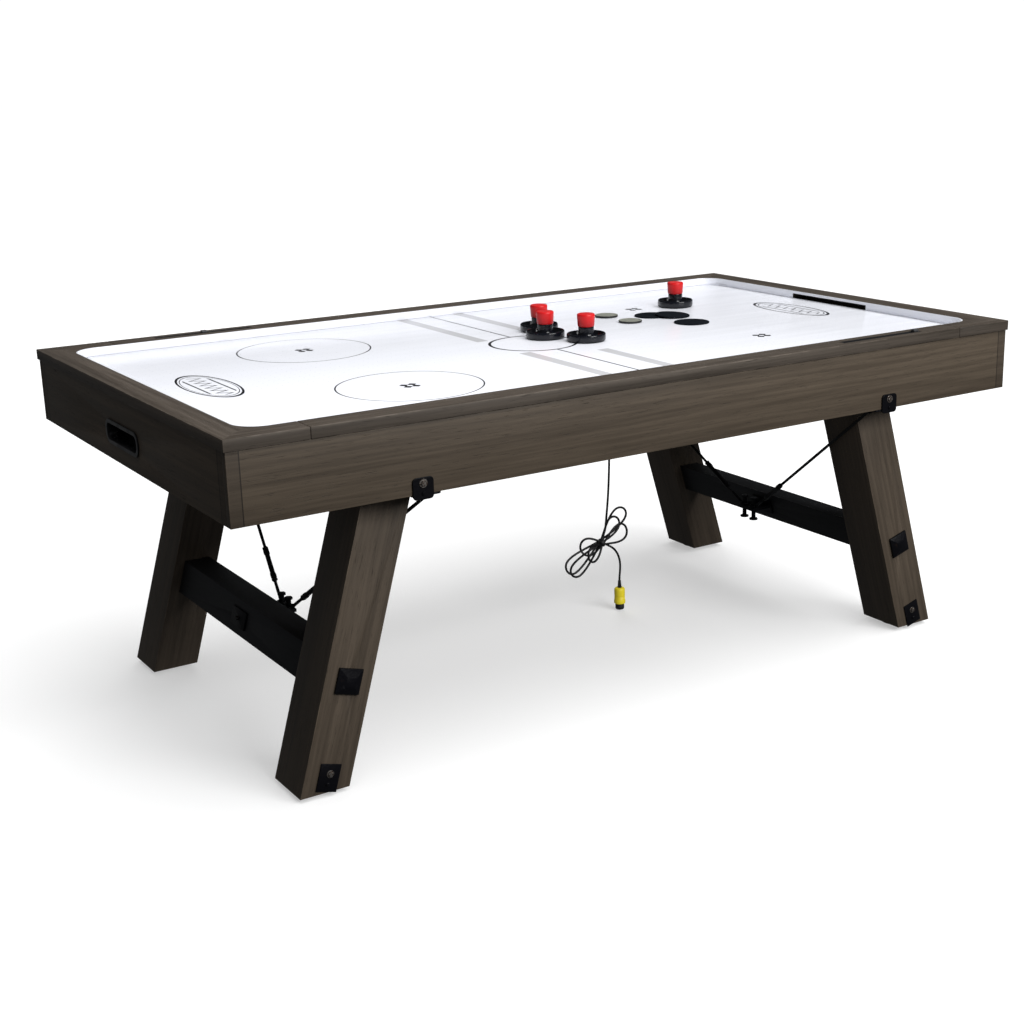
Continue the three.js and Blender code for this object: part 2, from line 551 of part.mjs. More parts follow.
// An L-shaped plate under the apron's edge, and the rod with its sleeve nut down to the anchor pin.
const brace = (sideX, sideY) => {
  const x = sideX * braceX;
  const plateX = sideX * (braceX + BRACE_PLATE_OFFSET);
  const outer = apronY + GAP;
  const under = apronBottom - GAP;
  const slab = (inboard, y0, y1, z0, z1) => {
    const xs = [plateX + sideX * BRACE_PLATE_WIDTH / 2, plateX - sideX * inboard];
    const ys = [sideY * y0, sideY * y1];
    return block(Math.min(...xs), Math.max(...xs), Math.min(...ys), Math.max(...ys), z0, z1);
  };
  const thick = BRACE_PLATE_THICKNESS;
  const start = new THREE.Vector3(x, sideY * (apronY - BRACE_LIP + thick), under - thick - BRACE_STUB);
  const ringZ = anchorZ + ANCHOR_TONGUE_THICKNESS / 2 + BRACE_ROD_RADIUS + GAP;
  const pinClear = ANCHOR_PIN_RADIUS + 1;
  const eye = new THREE.Vector3(sideX * anchorX, sideY * pinY, ringZ);
  const inRing = new THREE.Vector3(start.x - eye.x, start.y - eye.y, 0).setLength(pinClear + BRACE_ROD_RADIUS);
  const end = eye.clone().add(inRing);
  const way = new THREE.Vector3().subVectors(start, end).normalize();
  const sleeveStart = end.clone().addScaledVector(way, BRACE_SLEEVE_FROM_END);
  const sleeveEnd = sleeveStart.clone().addScaledVector(way, BRACE_SLEEVE_LENGTH);
  const ring = cut(
    rod(eye.x, eye.y, ringZ - BRACE_ROD_RADIUS, ringZ + BRACE_ROD_RADIUS, pinClear + 2 * BRACE_ROD_RADIUS, 16),
    rod(eye.x, eye.y, ringZ - BRACE_ROD_RADIUS - 1, ringZ + BRACE_ROD_RADIUS + 1, pinClear, 16));
  const boltFace = outer + thick;
  const boltZ = apronBottom + BRACE_PLATE_HEIGHT - BRACE_BOLT_RADIUS - 3;
  const bolt = bar(new THREE.Vector3(plateX, sideY * (boltFace - 1), boltZ),
    new THREE.Vector3(plateX, sideY * (boltFace + BRACE_BOLT_HEIGHT), boltZ), BRACE_BOLT_RADIUS, 6);
  return join(
    slab(BRACE_PLATE_WIDTH / 2, outer, outer + thick, under - thick - BRACE_APRON_LIP,
      apronBottom + BRACE_PLATE_HEIGHT),
    slab(BRACE_PLATE_OFFSET + BRACE_LIP_MARGIN, apronY - BRACE_LIP, outer + thick, under - thick, under),
    bar(start, end, BRACE_ROD_RADIUS, 10),
    bar(new THREE.Vector3(x, start.y, under - thick + 1), start, BRACE_ROD_RADIUS + BRACE_STUB, 10),
    bar(sleeveStart, sleeveEnd, BRACE_SLEEVE_RADIUS, 8),
    ring, bolt);
};

for (const sideX of [-1, 1]) {
  const end = sideX < 0 ? 'left' : 'right';
  const trestle = new THREE.Group();
  table.add(trestle);
  const outline = (width, z0, z1) => {
    const points = leaning(width, z0, z1, sideX);
    return sideX > 0 ? points : points.reverse();
  };
  const stretcher = barAlongY(outline(STRETCHER_WIDTH, stretcherBottom, stretcherBottom + STRETCHER_HEIGHT),
    -stretcherHalf, stretcherHalf);
  const boltBore = (sideY) => boltAt(sideX * boltX, sideY * (stretcherHalf - BOLT_BITE - 1),
    sideY * (stretcherHalf + 1), boltHole);
  const anchorBore = bar(new THREE.Vector3(sideX * (anchorX - 1), 0, anchorZ),
    new THREE.Vector3(sideX * (anchorX + LEG_WIDTH * 2), 0, anchorZ), ANCHOR_BOLT_RADIUS + GAP, 12);
  place(trestle, `stretcher_${end}`, cut(stretcher, boltBore(-1), boltBore(1), anchorBore), 'darkWood');
  place(trestle, `brace_anchor_${end}`, braceAnchor(sideX), 'blackMetal');
  for (const sideY of [-1, 1]) {
    const corner = `${sideY < 0 ? 'front' : 'rear'}_${end}`;
    const y = [sideY * legInnerY, sideY * legOuterY];
    const leg = cut(
      barAlongY(outline(LEG_WIDTH, legBottom, legTop), Math.min(...y), Math.max(...y)),
      boltAt(sideX * boltX, y[0] - sideY, y[1] + sideY, boltHole),
      rod(sideX * footX, (y[0] + y[1]) / 2, legBottom - 1, legBottom + FOOT_BORE_DEPTH, stemHole, 12));
    place(trestle, `leg_${corner}`, leg, 'wood');
    place(trestle, `leg_bolt_${corner}`, capBolt(sideX, sideY), 'blackMetal');
    place(trestle, `levelling_foot_${corner}`, levellingFoot(), 'blackPlastic',
      sideX * footX, (y[0] + y[1]) / 2, 0);
    place(trestle, `brace_${corner}`, brace(sideX, sideY), 'blackMetal');
  }
}

// ---- Blower under the air chamber ----
const blower = new THREE.Group();
blower.position.set(BLOWER_X, BLOWER_Y, panelBottom - GAP);
table.add(blower);
const glandX = BLOWER_RADIUS + BLOWER_FLANGE;
const floorTop = -BLOWER_HEIGHT + BLOWER_WALL;
const guardBar = (angle) => block(-BLOWER_INLET_RADIUS - 2, BLOWER_INLET_RADIUS + 2,
  -GUARD_BAR / 2, GUARD_BAR / 2, -BLOWER_HEIGHT, floorTop).rotateZ(angle);
const guardRing = (radius) => cut(
  rod(0, 0, -BLOWER_HEIGHT, floorTop, radius + GUARD_BAR / 2),
  rod(0, 0, -BLOWER_HEIGHT - 1, floorTop + 1, radius - GUARD_BAR / 2));
const blowerShell = () => {
  const low = -BLOWER_HEIGHT / 2;
  const casing = cut(
    join(rod(0, 0, -BLOWER_HEIGHT, 0, BLOWER_RADIUS, BLOWER_SIDES),
      rod(0, 0, -BLOWER_WALL, 0, BLOWER_RADIUS + BLOWER_FLANGE, BLOWER_SIDES),
      block(0, glandX + GLAND_BLOCK, -GLAND_BLOCK, GLAND_BLOCK, low, 0)),
    rod(0, 0, floorTop, 1, BLOWER_RADIUS - BLOWER_WALL, BLOWER_SIDES),
    rod(0, 0, -BLOWER_HEIGHT - 1, floorTop + 1, BLOWER_INLET_RADIUS, BLOWER_SIDES));
  const relief = turned([[0, low + 1], [GLAND_RADIUS, low + 1], [GLAND_RADIUS, low - 4],
    [GLAND_TIP_RADIUS, low - GLAND_LENGTH], [0, low - GLAND_LENGTH]], 16).translate(glandX, 0, 0);
  return join(casing, relief, guardBar(0), guardBar(Math.PI / 3), guardBar(-Math.PI / 3),
    guardRing(MOTOR_RADIUS + GUARD_RING_GAP), rod(0, 0, -BLOWER_HEIGHT, floorTop, GUARD_DISC_RADIUS));
};
place(blower, 'blower_housing', blowerShell(), 'blackPlastic');

const motorTop = floorTop + GAP + MOTOR_HEIGHT;
const impellerTop = -IMPELLER_END_CLEARANCE;
const impellerBottom = floorTop + IMPELLER_END_CLEARANCE;
const impellerRadius = BLOWER_RADIUS - BLOWER_WALL - IMPELLER_SIDE_CLEARANCE;
place(blower, 'blower_motor', join(
  rod(0, 0, floorTop + GAP, motorTop, MOTOR_RADIUS),
  rod(0, 0, motorTop - 1, impellerTop + 2, SHAFT_RADIUS, 12)), 'steel');

const halfBlade = IMPELLER_BLADE_THICKNESS / 2;
const blades = Array.from({ length: IMPELLER_BLADES }, (_, i) =>
  block(-IMPELLER_BLADE_SPAN / 2, IMPELLER_BLADE_SPAN / 2, -halfBlade, halfBlade,
    impellerBottom, impellerTop - 1)
    .rotateZ(IMPELLER_BLADE_ANGLE).translate(impellerRadius - IMPELLER_BLADE_SPAN / 2, 0, 0)
    .rotateZ((i / IMPELLER_BLADES) * Math.PI * 2));
const impellerPlate = rod(0, 0, impellerTop - IMPELLER_PLATE, impellerTop, impellerRadius, BLOWER_SIDES);
const impellerRing = cut(
  rod(0, 0, impellerBottom, impellerBottom + IMPELLER_PLATE, impellerRadius, BLOWER_SIDES),
  rod(0, 0, impellerBottom - 1, impellerBottom + IMPELLER_PLATE + 1,
    impellerRadius - IMPELLER_BLADE_SPAN + IMPELLER_PLATE, BLOWER_SIDES));
const impellerHub = rod(0, 0, motorTop + GAP, impellerTop, SHAFT_RADIUS + IMPELLER_HUB_WALL, 16);
place(blower, 'blower_impeller', cut(
  join(impellerPlate, impellerRing, impellerHub, ...blades),
  rod(0, 0, motorTop - 1, impellerTop + 1, SHAFT_RADIUS + SHAFT_CLEARANCE, 12)), 'blackPlastic');

// ---- Power cord: drop, tied hank, tail and plug ----
const cord = new THREE.Group();
table.add(cord);
const cordX = BLOWER_X + glandX;
const cordTop = panelBottom - GAP - BLOWER_HEIGHT / 2 - GLAND_LENGTH - GAP;
const straightEnd = 370; // below here the cord curves into the hank
const dropAt = (share) => straightEnd + share * (cordTop - straightEnd);
// Each point is [offset along X from the exit, height].
const DROP_POINTS = [[0, cordTop], [0, dropAt(0.92)], [-0.5, dropAt(0.51)], [-2, dropAt(0.27)],
  [-5, straightEnd], [-11, 305], [-17.5, 275], [-18.5, 264], [-13.2, 253.2]];
const TAIL_POINTS = [[-3.6, 200], [7, 186.4], [21, 168], [29.5, 146], [30.5, 122], [27, 98],
  [PLUG_OFFSET, PLUG_NECK_TOP + GAP]];

const cordTube = (points, steps) => {
  const path = new THREE.CatmullRomCurve3(points.map(
    ([x, z]) => new THREE.Vector3(cordX + x, BLOWER_Y, z)));
  const section = new THREE.Shape(Array.from({ length: 8 }, (_, i) => new THREE.Vector2(
    CORD_RADIUS * Math.cos((i * Math.PI) / 4), CORD_RADIUS * Math.sin((i * Math.PI) / 4))));
  return new THREE.ExtrudeGeometry(section, { extrudePath: path, steps, bevelEnabled: false });
};
place(cord, 'cord_drop', cordTube(DROP_POINTS, 30), 'cord');
place(cord, 'cord_tail', cordTube(TAIL_POINTS, 12), 'cord');

// The hank is a stadium-shaped bundle that leans up to the right.
const hankShape = roundedRectangle(HANK_LENGTH / 2, HANK_WIDTH / 2, HANK_WIDTH / 2 - 0.5);
const hank = place(cord, 'cord_hank', prism(hankShape, -HANK_THICKNESS / 2, HANK_THICKNESS / 2)
  .rotateX(Math.PI / 2), 'cord', cordX + HANK_OFFSET, BLOWER_Y, HANK_Z);
hank.rotation.y = -HANK_TILT;

place(cord, 'plug', turned([[0, PLUG_BOTTOM], [PLUG_COLLAR_RADIUS, PLUG_BOTTOM],
  [PLUG_COLLAR_RADIUS, PLUG_COLLAR_TOP], [PLUG_BODY_RADIUS, PLUG_COLLAR_TOP],
  [PLUG_BODY_RADIUS, PLUG_BODY_TOP], [PLUG_NECK_RADIUS, PLUG_BODY_TOP + 2],
  [PLUG_NECK_RADIUS, PLUG_NECK_TOP], [0, PLUG_NECK_TOP]], 24),
'plug', cordX + PLUG_OFFSET, BLOWER_Y, 0);

// ---- Loose pieces on the rink: four pushers, two pucks, three spare felt pads ----
const loose = new THREE.Group();
loose.position.z = playfieldTop + GAP;
table.add(loose);

const rimInner = PUSHER_RADIUS - PUSHER_RIM_WALL;
const pusherBase = () => cut(turned([[0, 0], [PUSHER_RADIUS - 2, 0], [PUSHER_RADIUS, 3],
  [PUSHER_RADIUS, PUSHER_RIM_HEIGHT], [rimInner, PUSHER_RIM_HEIGHT], [rimInner - 3, PUSHER_FLOOR],
  [PUSHER_NECK_RADIUS + 6, PUSHER_FLOOR], [PUSHER_NECK_RADIUS, PUSHER_FLOOR + 10],
  [PUSHER_NECK_RADIUS, PUSHER_NECK_HEIGHT], [0, PUSHER_NECK_HEIGHT]]),
rod(0, 0, PUSHER_NECK_HEIGHT - KNOB_SPIGOT_DEPTH - 1, PUSHER_NECK_HEIGHT + 1,
  KNOB_SPIGOT_RADIUS + GAP));
const knobBottom = PUSHER_NECK_HEIGHT + GAP;
const knobTop = knobBottom + KNOB_HEIGHT;
const pusherKnob = () => turned([[0, knobBottom - KNOB_SPIGOT_DEPTH],
  [KNOB_SPIGOT_RADIUS, knobBottom - KNOB_SPIGOT_DEPTH], [KNOB_SPIGOT_RADIUS, knobBottom],
  [KNOB_RADIUS - KNOB_TAPER, knobBottom], [KNOB_RADIUS, knobTop - KNOB_ROUNDING],
  [KNOB_RADIUS - KNOB_ROUNDING / 4, knobTop - KNOB_ROUNDING / 3], [KNOB_RADIUS - KNOB_ROUNDING, knobTop],
  [0, knobTop]], 20);

const pusherPlaces = PUSHER_STEPS.reduce((places, [dx, dy]) => {
  const [x, y] = places.at(-1);
  return [...places, [x + dx * 2 * PUSHER_RADIUS, y + dy * 2 * PUSHER_RADIUS]];
}, [LONE_PUSHER, FIRST_PUSHER]);

pusherPlaces.forEach(([x, y], i) => {
  const pusher = new THREE.Group();
  pusher.position.set(x, y, 0);
  loose.add(pusher);
  place(pusher, `pusher_base_${i + 1}`, pusherBase(), 'blackPlastic');
  place(pusher, `pusher_knob_${i + 1}`, pusherKnob(), 'red');
});

PUCK_PLACES.forEach(([x, y], i) => {
  place(loose, `puck_${i + 1}`, turned([[0, 0], [PUCK_RADIUS - 1, 0], [PUCK_RADIUS, 1],
    [PUCK_RADIUS, PUCK_THICKNESS - 1], [PUCK_RADIUS - 1, PUCK_THICKNESS], [0, PUCK_THICKNESS]]),
  'puck', x, y);
});

// The middle pad leans on the first one's edge, with its far side on the playfield.
const [padA, padB] = PAD_PLACES.map(([x, y]) => new THREE.Vector2(x, y));
const padWay = padB.clone().sub(padA);
const padLean = Math.atan((PAD_THICKNESS + GAP) / padWay.length());
PAD_PLACES.forEach(([x, y], i) => {
  const pad = place(loose, `felt_pad_${i + 1}`, rod(0, 0, 0, PAD_THICKNESS, PAD_RADIUS, 24), 'felt', x, y);
  if (i === 1) {
    const axis = new THREE.Vector3(-padWay.y, padWay.x, 0).normalize();
    pad.setRotationFromAxisAngle(axis, padLean);
    pad.position.z = PAD_RADIUS * Math.sin(padLean) + GAP;
  }
});

export default table;
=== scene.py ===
import math

import bmesh
import bpy
from mathutils import Matrix, Vector


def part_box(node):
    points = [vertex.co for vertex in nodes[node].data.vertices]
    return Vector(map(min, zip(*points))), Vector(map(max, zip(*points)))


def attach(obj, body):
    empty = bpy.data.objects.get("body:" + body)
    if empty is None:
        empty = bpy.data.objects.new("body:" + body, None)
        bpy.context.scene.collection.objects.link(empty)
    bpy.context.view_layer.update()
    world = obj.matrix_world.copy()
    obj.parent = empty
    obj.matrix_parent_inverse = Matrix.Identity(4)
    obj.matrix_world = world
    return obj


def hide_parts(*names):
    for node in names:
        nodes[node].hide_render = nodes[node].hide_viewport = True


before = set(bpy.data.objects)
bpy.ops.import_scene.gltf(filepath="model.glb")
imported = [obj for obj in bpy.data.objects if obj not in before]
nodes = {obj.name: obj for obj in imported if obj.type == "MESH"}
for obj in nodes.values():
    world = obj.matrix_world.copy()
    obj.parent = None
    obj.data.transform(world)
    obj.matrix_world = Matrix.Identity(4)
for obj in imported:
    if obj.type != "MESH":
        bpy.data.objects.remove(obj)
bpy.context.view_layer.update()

# ---- Camera ----
# It stands off the left end of the table's front side, about head high,
# and looks along the rink and a little down.
yaw, pitch, roll = 0.9783, 0.2795, -0.0174
ahead = Vector((math.cos(yaw) * math.cos(pitch), math.sin(yaw) * math.cos(pitch), -math.sin(pitch)))
level = Vector((math.sin(yaw), -math.cos(yaw), 0))
upright = level.cross(ahead)
across = math.cos(roll) * level + math.sin(roll) * upright
above = -math.sin(roll) * level + math.cos(roll) * upright
lens = bpy.data.cameras.new("camera")
lens.lens, lens.sensor_width = 55.8, 36
lens.shift_x, lens.shift_y = -0.0767, -0.0027
camera = bpy.data.objects.new("camera", lens)
bpy.context.scene.collection.objects.link(camera)
camera.matrix_world = Matrix((across, above, -ahead)).transposed().to_4x4()
camera.location = (-2.1062, -3.3759, 1.5053)
bpy.context.scene.camera = camera


# ---- Studio ----
# A plain pale floor under one wide soft light overhead, with a large panel in
# front that lights the side apron, a weaker one behind, and a dim white room around.
def lamp(name, kind, energy, where, towards, **settings):
    data = bpy.data.lights.new(name, kind)
    data.energy = energy
    for setting, value in settings.items():
        setattr(data, setting, value)
    made = bpy.data.objects.new(name, data)
    made.location = where
    made.rotation_mode = "QUATERNION"
    made.rotation_quaternion = (Vector(towards) - Vector(where)).to_track_quat("-Z", "Y")
    bpy.context.scene.collection.objects.link(made)
    return made


bpy.context.scene.view_settings.view_transform = "Standard"
room = bpy.data.worlds.new("room")
room.use_nodes = True
bpy.context.scene.world = room
seen = room.node_tree.nodes["Background"]
seen.inputs["Strength"].default_value = 1.05
dim = room.node_tree.nodes.new("ShaderNodeBackground")
dim.inputs["Color"].default_value = (0.94, 0.97, 1, 1)
dim.inputs["Strength"].default_value = 0.10
seen.inputs["Color"].default_value = (1, 1, 1, 1)
path = room.node_tree.nodes.new("ShaderNodeLightPath")
blend = room.node_tree.nodes.new("ShaderNodeMixShader")
room.node_tree.links.new(path.outputs["Is Camera Ray"], blend.inputs[0])
room.node_tree.links.new(dim.outputs[0], blend.inputs[1])
room.node_tree.links.new(seen.outputs[0], blend.inputs[2])
room.node_tree.links.new(blend.outputs[0], room.node_tree.nodes["World Output"].inputs["Surface"])
overhead = lamp("overhead", "SUN", 2.95, (1.05, -0.7, 5), (0, 0, 0), angle=1.15)
lamp("front_panel", "AREA", 275, (1.2, -5.2, 3.2), (0.3, -0.4, 0.6), shape="RECTANGLE", size=4, size_y=2)
behind = lamp("back_panel", "AREA", 120, (2.6, 5.6, 3.2), (0.3, 0.4, 0.6), shape="RECTANGLE", size=4, size_y=2)
overhead.visible_glossy = behind.visible_glossy = False

bpy.ops.object.select_all(action="DESELECT")
bpy.ops.mesh.primitive_plane_add(size=120, location=(0, 0, -0.0006))
floor = bpy.context.object
floor.name = "floor"
floor.visible_diffuse = False
floor.visible_glossy = False
pale = bpy.data.materials.new("pale_floor")
pale.use_nodes = True
for socket, value in {"Base Color": (0.61, 0.61, 0.61, 1), "Emission Color": (1, 1, 1, 1),
                      "Emission Strength": 0.43, "Roughness": 0.7, "Specular IOR Level": 0.1}.items():
    pale.node_tree.nodes["Principled BSDF"].inputs[socket].default_value = value
floor.data.materials.append(pale)


# ---- Power cord ----
# A 6 mm black flexible lead, 2.2 m from the blower's strain relief to its plug.
# Most of it is folded in a tied bow of loops that hangs just above the floor.
class Reading:
    """A number, colour or direction inside a finish. Arithmetic on it adds the nodes."""

    def __init__(self, finish, socket):
        self.finish, self.socket = finish, socket

    def worked(self, operation, *values):
        return self.finish.node("Math", {"operation": operation}, dict(enumerate(values)))

    def __add__(self, other):
        return self.worked("ADD", self, other)

    def __radd__(self, other):
        return self.worked("ADD", other, self)

    def __sub__(self, other):
        return self.worked("SUBTRACT", self, other)

    def __rsub__(self, other):
        return self.worked("SUBTRACT", other, self)

    def __mul__(self, other):
        return self.worked("MULTIPLY", self, other)

    def __rmul__(self, other):
        return self.worked("MULTIPLY", other, self)

    def __truediv__(self, other):
        return self.worked("DIVIDE", self, other)

    def __abs__(self):
        return self.worked("ABSOLUTE", self)


class Finish:
    """A surface finish, mixed node by node on one Principled shader."""

    def __init__(self, name, roughness=0.5, **sockets):
        self.material = bpy.data.materials.new(name)
        self.material.use_nodes = True
        self.tree = self.material.node_tree
        self.shader = self.tree.nodes["Principled BSDF"]
        self.place = self.node("TexCoord", {}, {}, "Object")
        self.set(Roughness=roughness, **{key.replace("_", " "): value for key, value in sockets.items()})

    def node(self, kind, settings, values, out=0):
        made = self.tree.nodes.new("ShaderNode" + kind)
        for setting, value in settings.items():
            if setting == "stops":
                for stop, (spot, colour) in zip(made.color_ramp.elements, value):
                    stop.position, stop.color = spot, colour
            else:
                setattr(made, setting, value)
        for socket, value in values.items():
            self.feed(made.inputs[socket], value)
        return Reading(self, made.outputs[out])

    def feed(self, socket, value):
        if isinstance(value, Reading):
            self.tree.links.new(value.socket, socket)
        else:
            socket.default_value = value

    def set(self, **sockets):
        for name, value in sockets.items():
            self.feed(self.shader.inputs[name], value)

    def mix(self, amount, first, second):
        return self.node("Mix", {"data_type": "RGBA"}, {0: amount, 6: first, 7: second}, 2)

    def stretched(self, where, scale):
        return self.node("VectorMath", {"operation": "MULTIPLY"}, {0: where, 1: scale})

    def noise(self, where, scale, detail=3, rough=0.55, bend=0):
        return self.node("TexNoise", {}, {"Vector": where, "Scale": scale, "Detail": detail,
                                          "Roughness": rough, "Distortion": bend})

    def fade(self, value, start, end):
        return self.node("MapRange", {"interpolation_type": "SMOOTHSTEP"},
                         {"Value": value, "From Min": start, "From Max": end})

    def axes(self, where):
        return [self.node("SeparateXYZ", {}, {0: where}, axis) for axis in "XYZ"]

    def whole(self, value):
        return self.node("Math", {"operation": "FLOOR"}, {0: value})

    def root(self, value):
        return self.node("Math", {"operation": "SQRT"}, {0: value})

    def bump(self, height, distance, strength=1.0):
        self.set(Normal=self.node("Bump", {}, {"Height": height, "Distance": distance, "Strength": strength}))


jacket = Finish("black_cord_sheath", Specular_IOR_Level=0.45)
scuff = jacket.noise(jacket.place, 160, 4)
jacket.set(**{"Base Color": jacket.mix(jacket.fade(scuff, 0.45, 0.75), (0.006, 0.006, 0.007, 1),
                                       (0.02, 0.02, 0.021, 1)), "Roughness": 0.34 + 0.25 * scuff})
jacket.bump(scuff, 0.0003)

cord_exit = Vector((0.286, 0.079, 0.6643))
cord_drop = [(0, 0.6643), (0, 0.6408), (-0.0005, 0.5201), (-0.002, 0.4495), (-0.005, 0.37), (-0.011, 0.305),
             (-0.0165, 0.265), (-0.0185, 0.238)]
cord_tail = [(-0.0115, 0.1965), (0.007, 0.1864), (0.021, 0.168), (0.0295, 0.146), (0.0305, 0.122),
             (0.027, 0.098), (0.027, 0.0863)]
tie_spot = Vector((0.2545, 0.079, 0.2080))
loops = [  # way of each loop in XZ, length, half width, and how far it stands out of the bow along Y
    (209, 0.132, 0.0262, -0.006), (50, 0.114, 0.0285, -0.012), (222, 0.122, 0.0262, 0.012),
    (46, 0.086, 0.0265, 0.010), (205, 0.066, 0.0262, -0.018), (22, 0.086, 0.0265, 0.001),
    (193, 0.062, 0.0262, 0.022)]
strand = [(0.0071 * math.cos(math.tau * part / 7), 0.0071 * math.sin(math.tau * part / 7)) for part in range(7)]
strand.insert(3, (0, 0))
bow = math.radians(38)
over = Vector((-math.sin(bow), 0, math.cos(bow)))


def in_tie(turn):
    """Where the cord passes through the tie for the nth time, one strand beside the other."""
    side, deep = strand[turn]
    return tie_spot + over * side + Vector((0, deep, 0))


route = [cord_exit + Vector((x, 0, z - cord_exit.z)) for x, z in cord_drop]
for turn, (heading, length, half, out) in enumerate(loops):
    way = Vector((math.cos(math.radians(heading)), 0, math.sin(math.radians(heading))))
    side = Vector((0, 1, 0)).cross(way) * (1 if turn % 2 else -1)
    leave = in_tie(turn)
    enter = in_tie(turn + 1)
    if turn == 0:
        route.append(leave)
    shank = length - half
    fold = [(shank + half * math.cos(turned_by), half * math.sin(turned_by))
            for turned_by in map(math.radians, (72, 36, 0, -36, -72))]
    for reach, spread in ((shank * 0.36, half * 0.40), (shank * 0.72, half * 0.80), *fold,
                          (shank * 0.72, -half * 0.80), (shank * 0.36, -half * 0.40)):
        start = leave.lerp(enter, 0.5 - spread / half / 2)
        route.append(start + way * reach + side * spread + Vector((0, out * reach / length, 0)))
    route.append(enter)
route += [cord_exit + Vector((x, 0, z - cord_exit.z)) for x, z in cord_tail]


def smooth_line(points, steps):
    """Points along the centripetal curve through the given ones."""
    ends = [2 * points[0] - points[1], *points, 2 * points[-1] - points[-2]]
    line = []
    for a, b, c, d in zip(ends, ends[1:], ends[2:], ends[3:]):
        knots = [0]
        for first, second in ((a, b), (b, c), (c, d)):
            knots.append(knots[-1] + max((second - first).length, 1e-6) ** 0.5)
        for step in range(steps):
            t = knots[1] + (knots[2] - knots[1]) * step / steps
            low = [a.lerp(b, (t - knots[0]) / (knots[1] - knots[0])),
                   b.lerp(c, (t - knots[1]) / (knots[2] - knots[1])),
                   c.lerp(d, (t - knots[2]) / (knots[3] - knots[2]))]
            high = [low[0].lerp(low[1], (t - knots[0]) / (knots[2] - knots[0])),
                    low[1].lerp(low[2], (t - knots[1]) / (knots[3] - knots[1]))]
            line.append(high[0].lerp(high[1], (t - knots[1]) / (knots[2] - knots[1])))
    return [*line, points[-1]]


line = smooth_line(route, 5)
for settle in range(14):
    eased = [(a + 2 * b + c) / 4 for a, b, c in zip(line[1:], line[2:], line[3:-1])]
    line = [*line[:2], *eased, *line[-2:]]
cord_data = bpy.data.curves.new("power_cord", "CURVE")
cord_data.dimensions, cord_data.bevel_depth, cord_data.bevel_resolution = "3D", 0.003, 4
spline = cord_data.splines.new("POLY")
spline.points.add(len(line) - 1)
for point, spot in zip(spline.points, line):
    point.co = (*spot, 1)
cord_data.materials.append(jacket.material)
power_cord = bpy.data.objects.new("power_cord", cord_data)
bpy.context.scene.collection.objects.link(power_cord)
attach(power_cord, "table")
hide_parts("cord_drop", "cord_hank", "cord_tail")
cord_length = sum((b - a).length for a, b in zip(line, line[1:]))


def turned(name, outline, steps=48, place=Matrix()):
    """A piece spun round its upright axis from the (radius, height) points of its outline, then put in place."""
    bpy.ops.object.select_all(action="DESELECT")
    bpy.ops.mesh.primitive_plane_add(size=0.001)
    made = bpy.context.object
    made.name = made.data.name = name
    bpy.ops.object.mode_set(mode="EDIT")
    bpy.ops.mesh.select_mode(type="VERT")
    bpy.ops.mesh.select_all(action="SELECT")
    bpy.ops.mesh.merge(type="CENTER")
    bpy.ops.transform.translate(value=(outline[0][0], 0, outline[0][1]))
    for start, end in zip(outline, outline[1:]):
        bpy.ops.mesh.extrude_region_move(
            TRANSFORM_OT_translate={"value": (end[0] - start[0], 0, end[1] - start[1])})
    bpy.ops.mesh.select_all(action="SELECT")
    bpy.ops.mesh.spin(steps=steps, angle=math.tau, center=(0, 0, 0), axis=(0, 0, 1))
    bpy.ops.mesh.select_all(action="SELECT")
    bpy.ops.mesh.remove_doubles(threshold=0.000002)
    bpy.ops.mesh.normals_make_consistent(inside=False)
    bpy.ops.object.mode_set(mode="OBJECT")
    made.matrix_world = place
    bpy.ops.object.transform_apply(location=True, rotation=True, scale=True)
    bpy.ops.object.shade_smooth_by_angle(angle=math.radians(35))
    return made


def fix(piece, body, finish, slot, *stands_for):
    """Paints a piece and fastens it to the body that it moves with."""
    piece.data.materials.clear()
    piece.data.materials.append(finish.material)
    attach(piece, body)
    if stands_for:
        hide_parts(*stands_for)
    return piece


tie_turn = Matrix.Translation(tie_spot) @ Matrix.Rotation(math.pi / 2 - bow, 4, "Y")
band = turned("cord_tie", [(0.0103, -0.0042), (0.0114, -0.0048), (0.0125, -0.0034), (0.0127, 0),
                           (0.0125, 0.0034), (0.0114, 0.0048), (0.0103, 0.0042), (0.0103, -0.0042)], 32, tie_turn)
plastic_tie = Finish("black_tie_wire", 0.38)
ribs = plastic_tie.noise(plastic_tie.place, 320, 2)
plastic_tie.bump(ribs, 0.0004)
plastic_tie.set(**{"Base Color": plastic_tie.mix(ribs, (0.008, 0.008, 0.009, 1), (0.025, 0.025, 0.027, 1))})
fix(band, "table", plastic_tie, "cord_jacket")

# ---- Plug ----
# A moulded plug: a black pin end, a waisted yellow grip with finger ribs and a
# ribbed black bend relief where the cord goes in. It hangs on the cord's end.
# The yellow grip carries a faint painted glow that makes it brighter than its lamps light it.
plug_axis = Matrix.Translation((0.313, 0.079, 0))
grip = turned("plug_grip", [(0.002, 0.0196), (0.0130, 0.0197), (0.0154, 0.0205), (0.0158, 0.0226), (0.0160, 0.0262),
                            (0.0157, 0.0292), (0.0150, 0.0318), (0.0146, 0.0330), (0.0151, 0.0342),
                            (0.0145, 0.0354), (0.0149, 0.0366), (0.0143, 0.0378), (0.0147, 0.0390),
                            (0.0142, 0.0402), (0.0147, 0.0414), (0.0148, 0.0450), (0.0150, 0.0520),
                            (0.0150, 0.0590), (0.0145, 0.0625), (0.0132, 0.0645), (0.0110, 0.0656),
                            (0.0056, 0.0659), (0.002, 0.0659), (0.002, 0.0196)], 56, plug_axis)
# painted glow: a weak yellow emission makes the grip shine as if lit, though it is no lamp
yellow_with_painted_glow = Finish("yellow_plastic_with_painted_glow", Emission_Color=(0.9, 0.72, 0.03, 1), Emission_Strength=0.12)
mottle = yellow_with_painted_glow.noise(yellow_with_painted_glow.place, 70, 4)
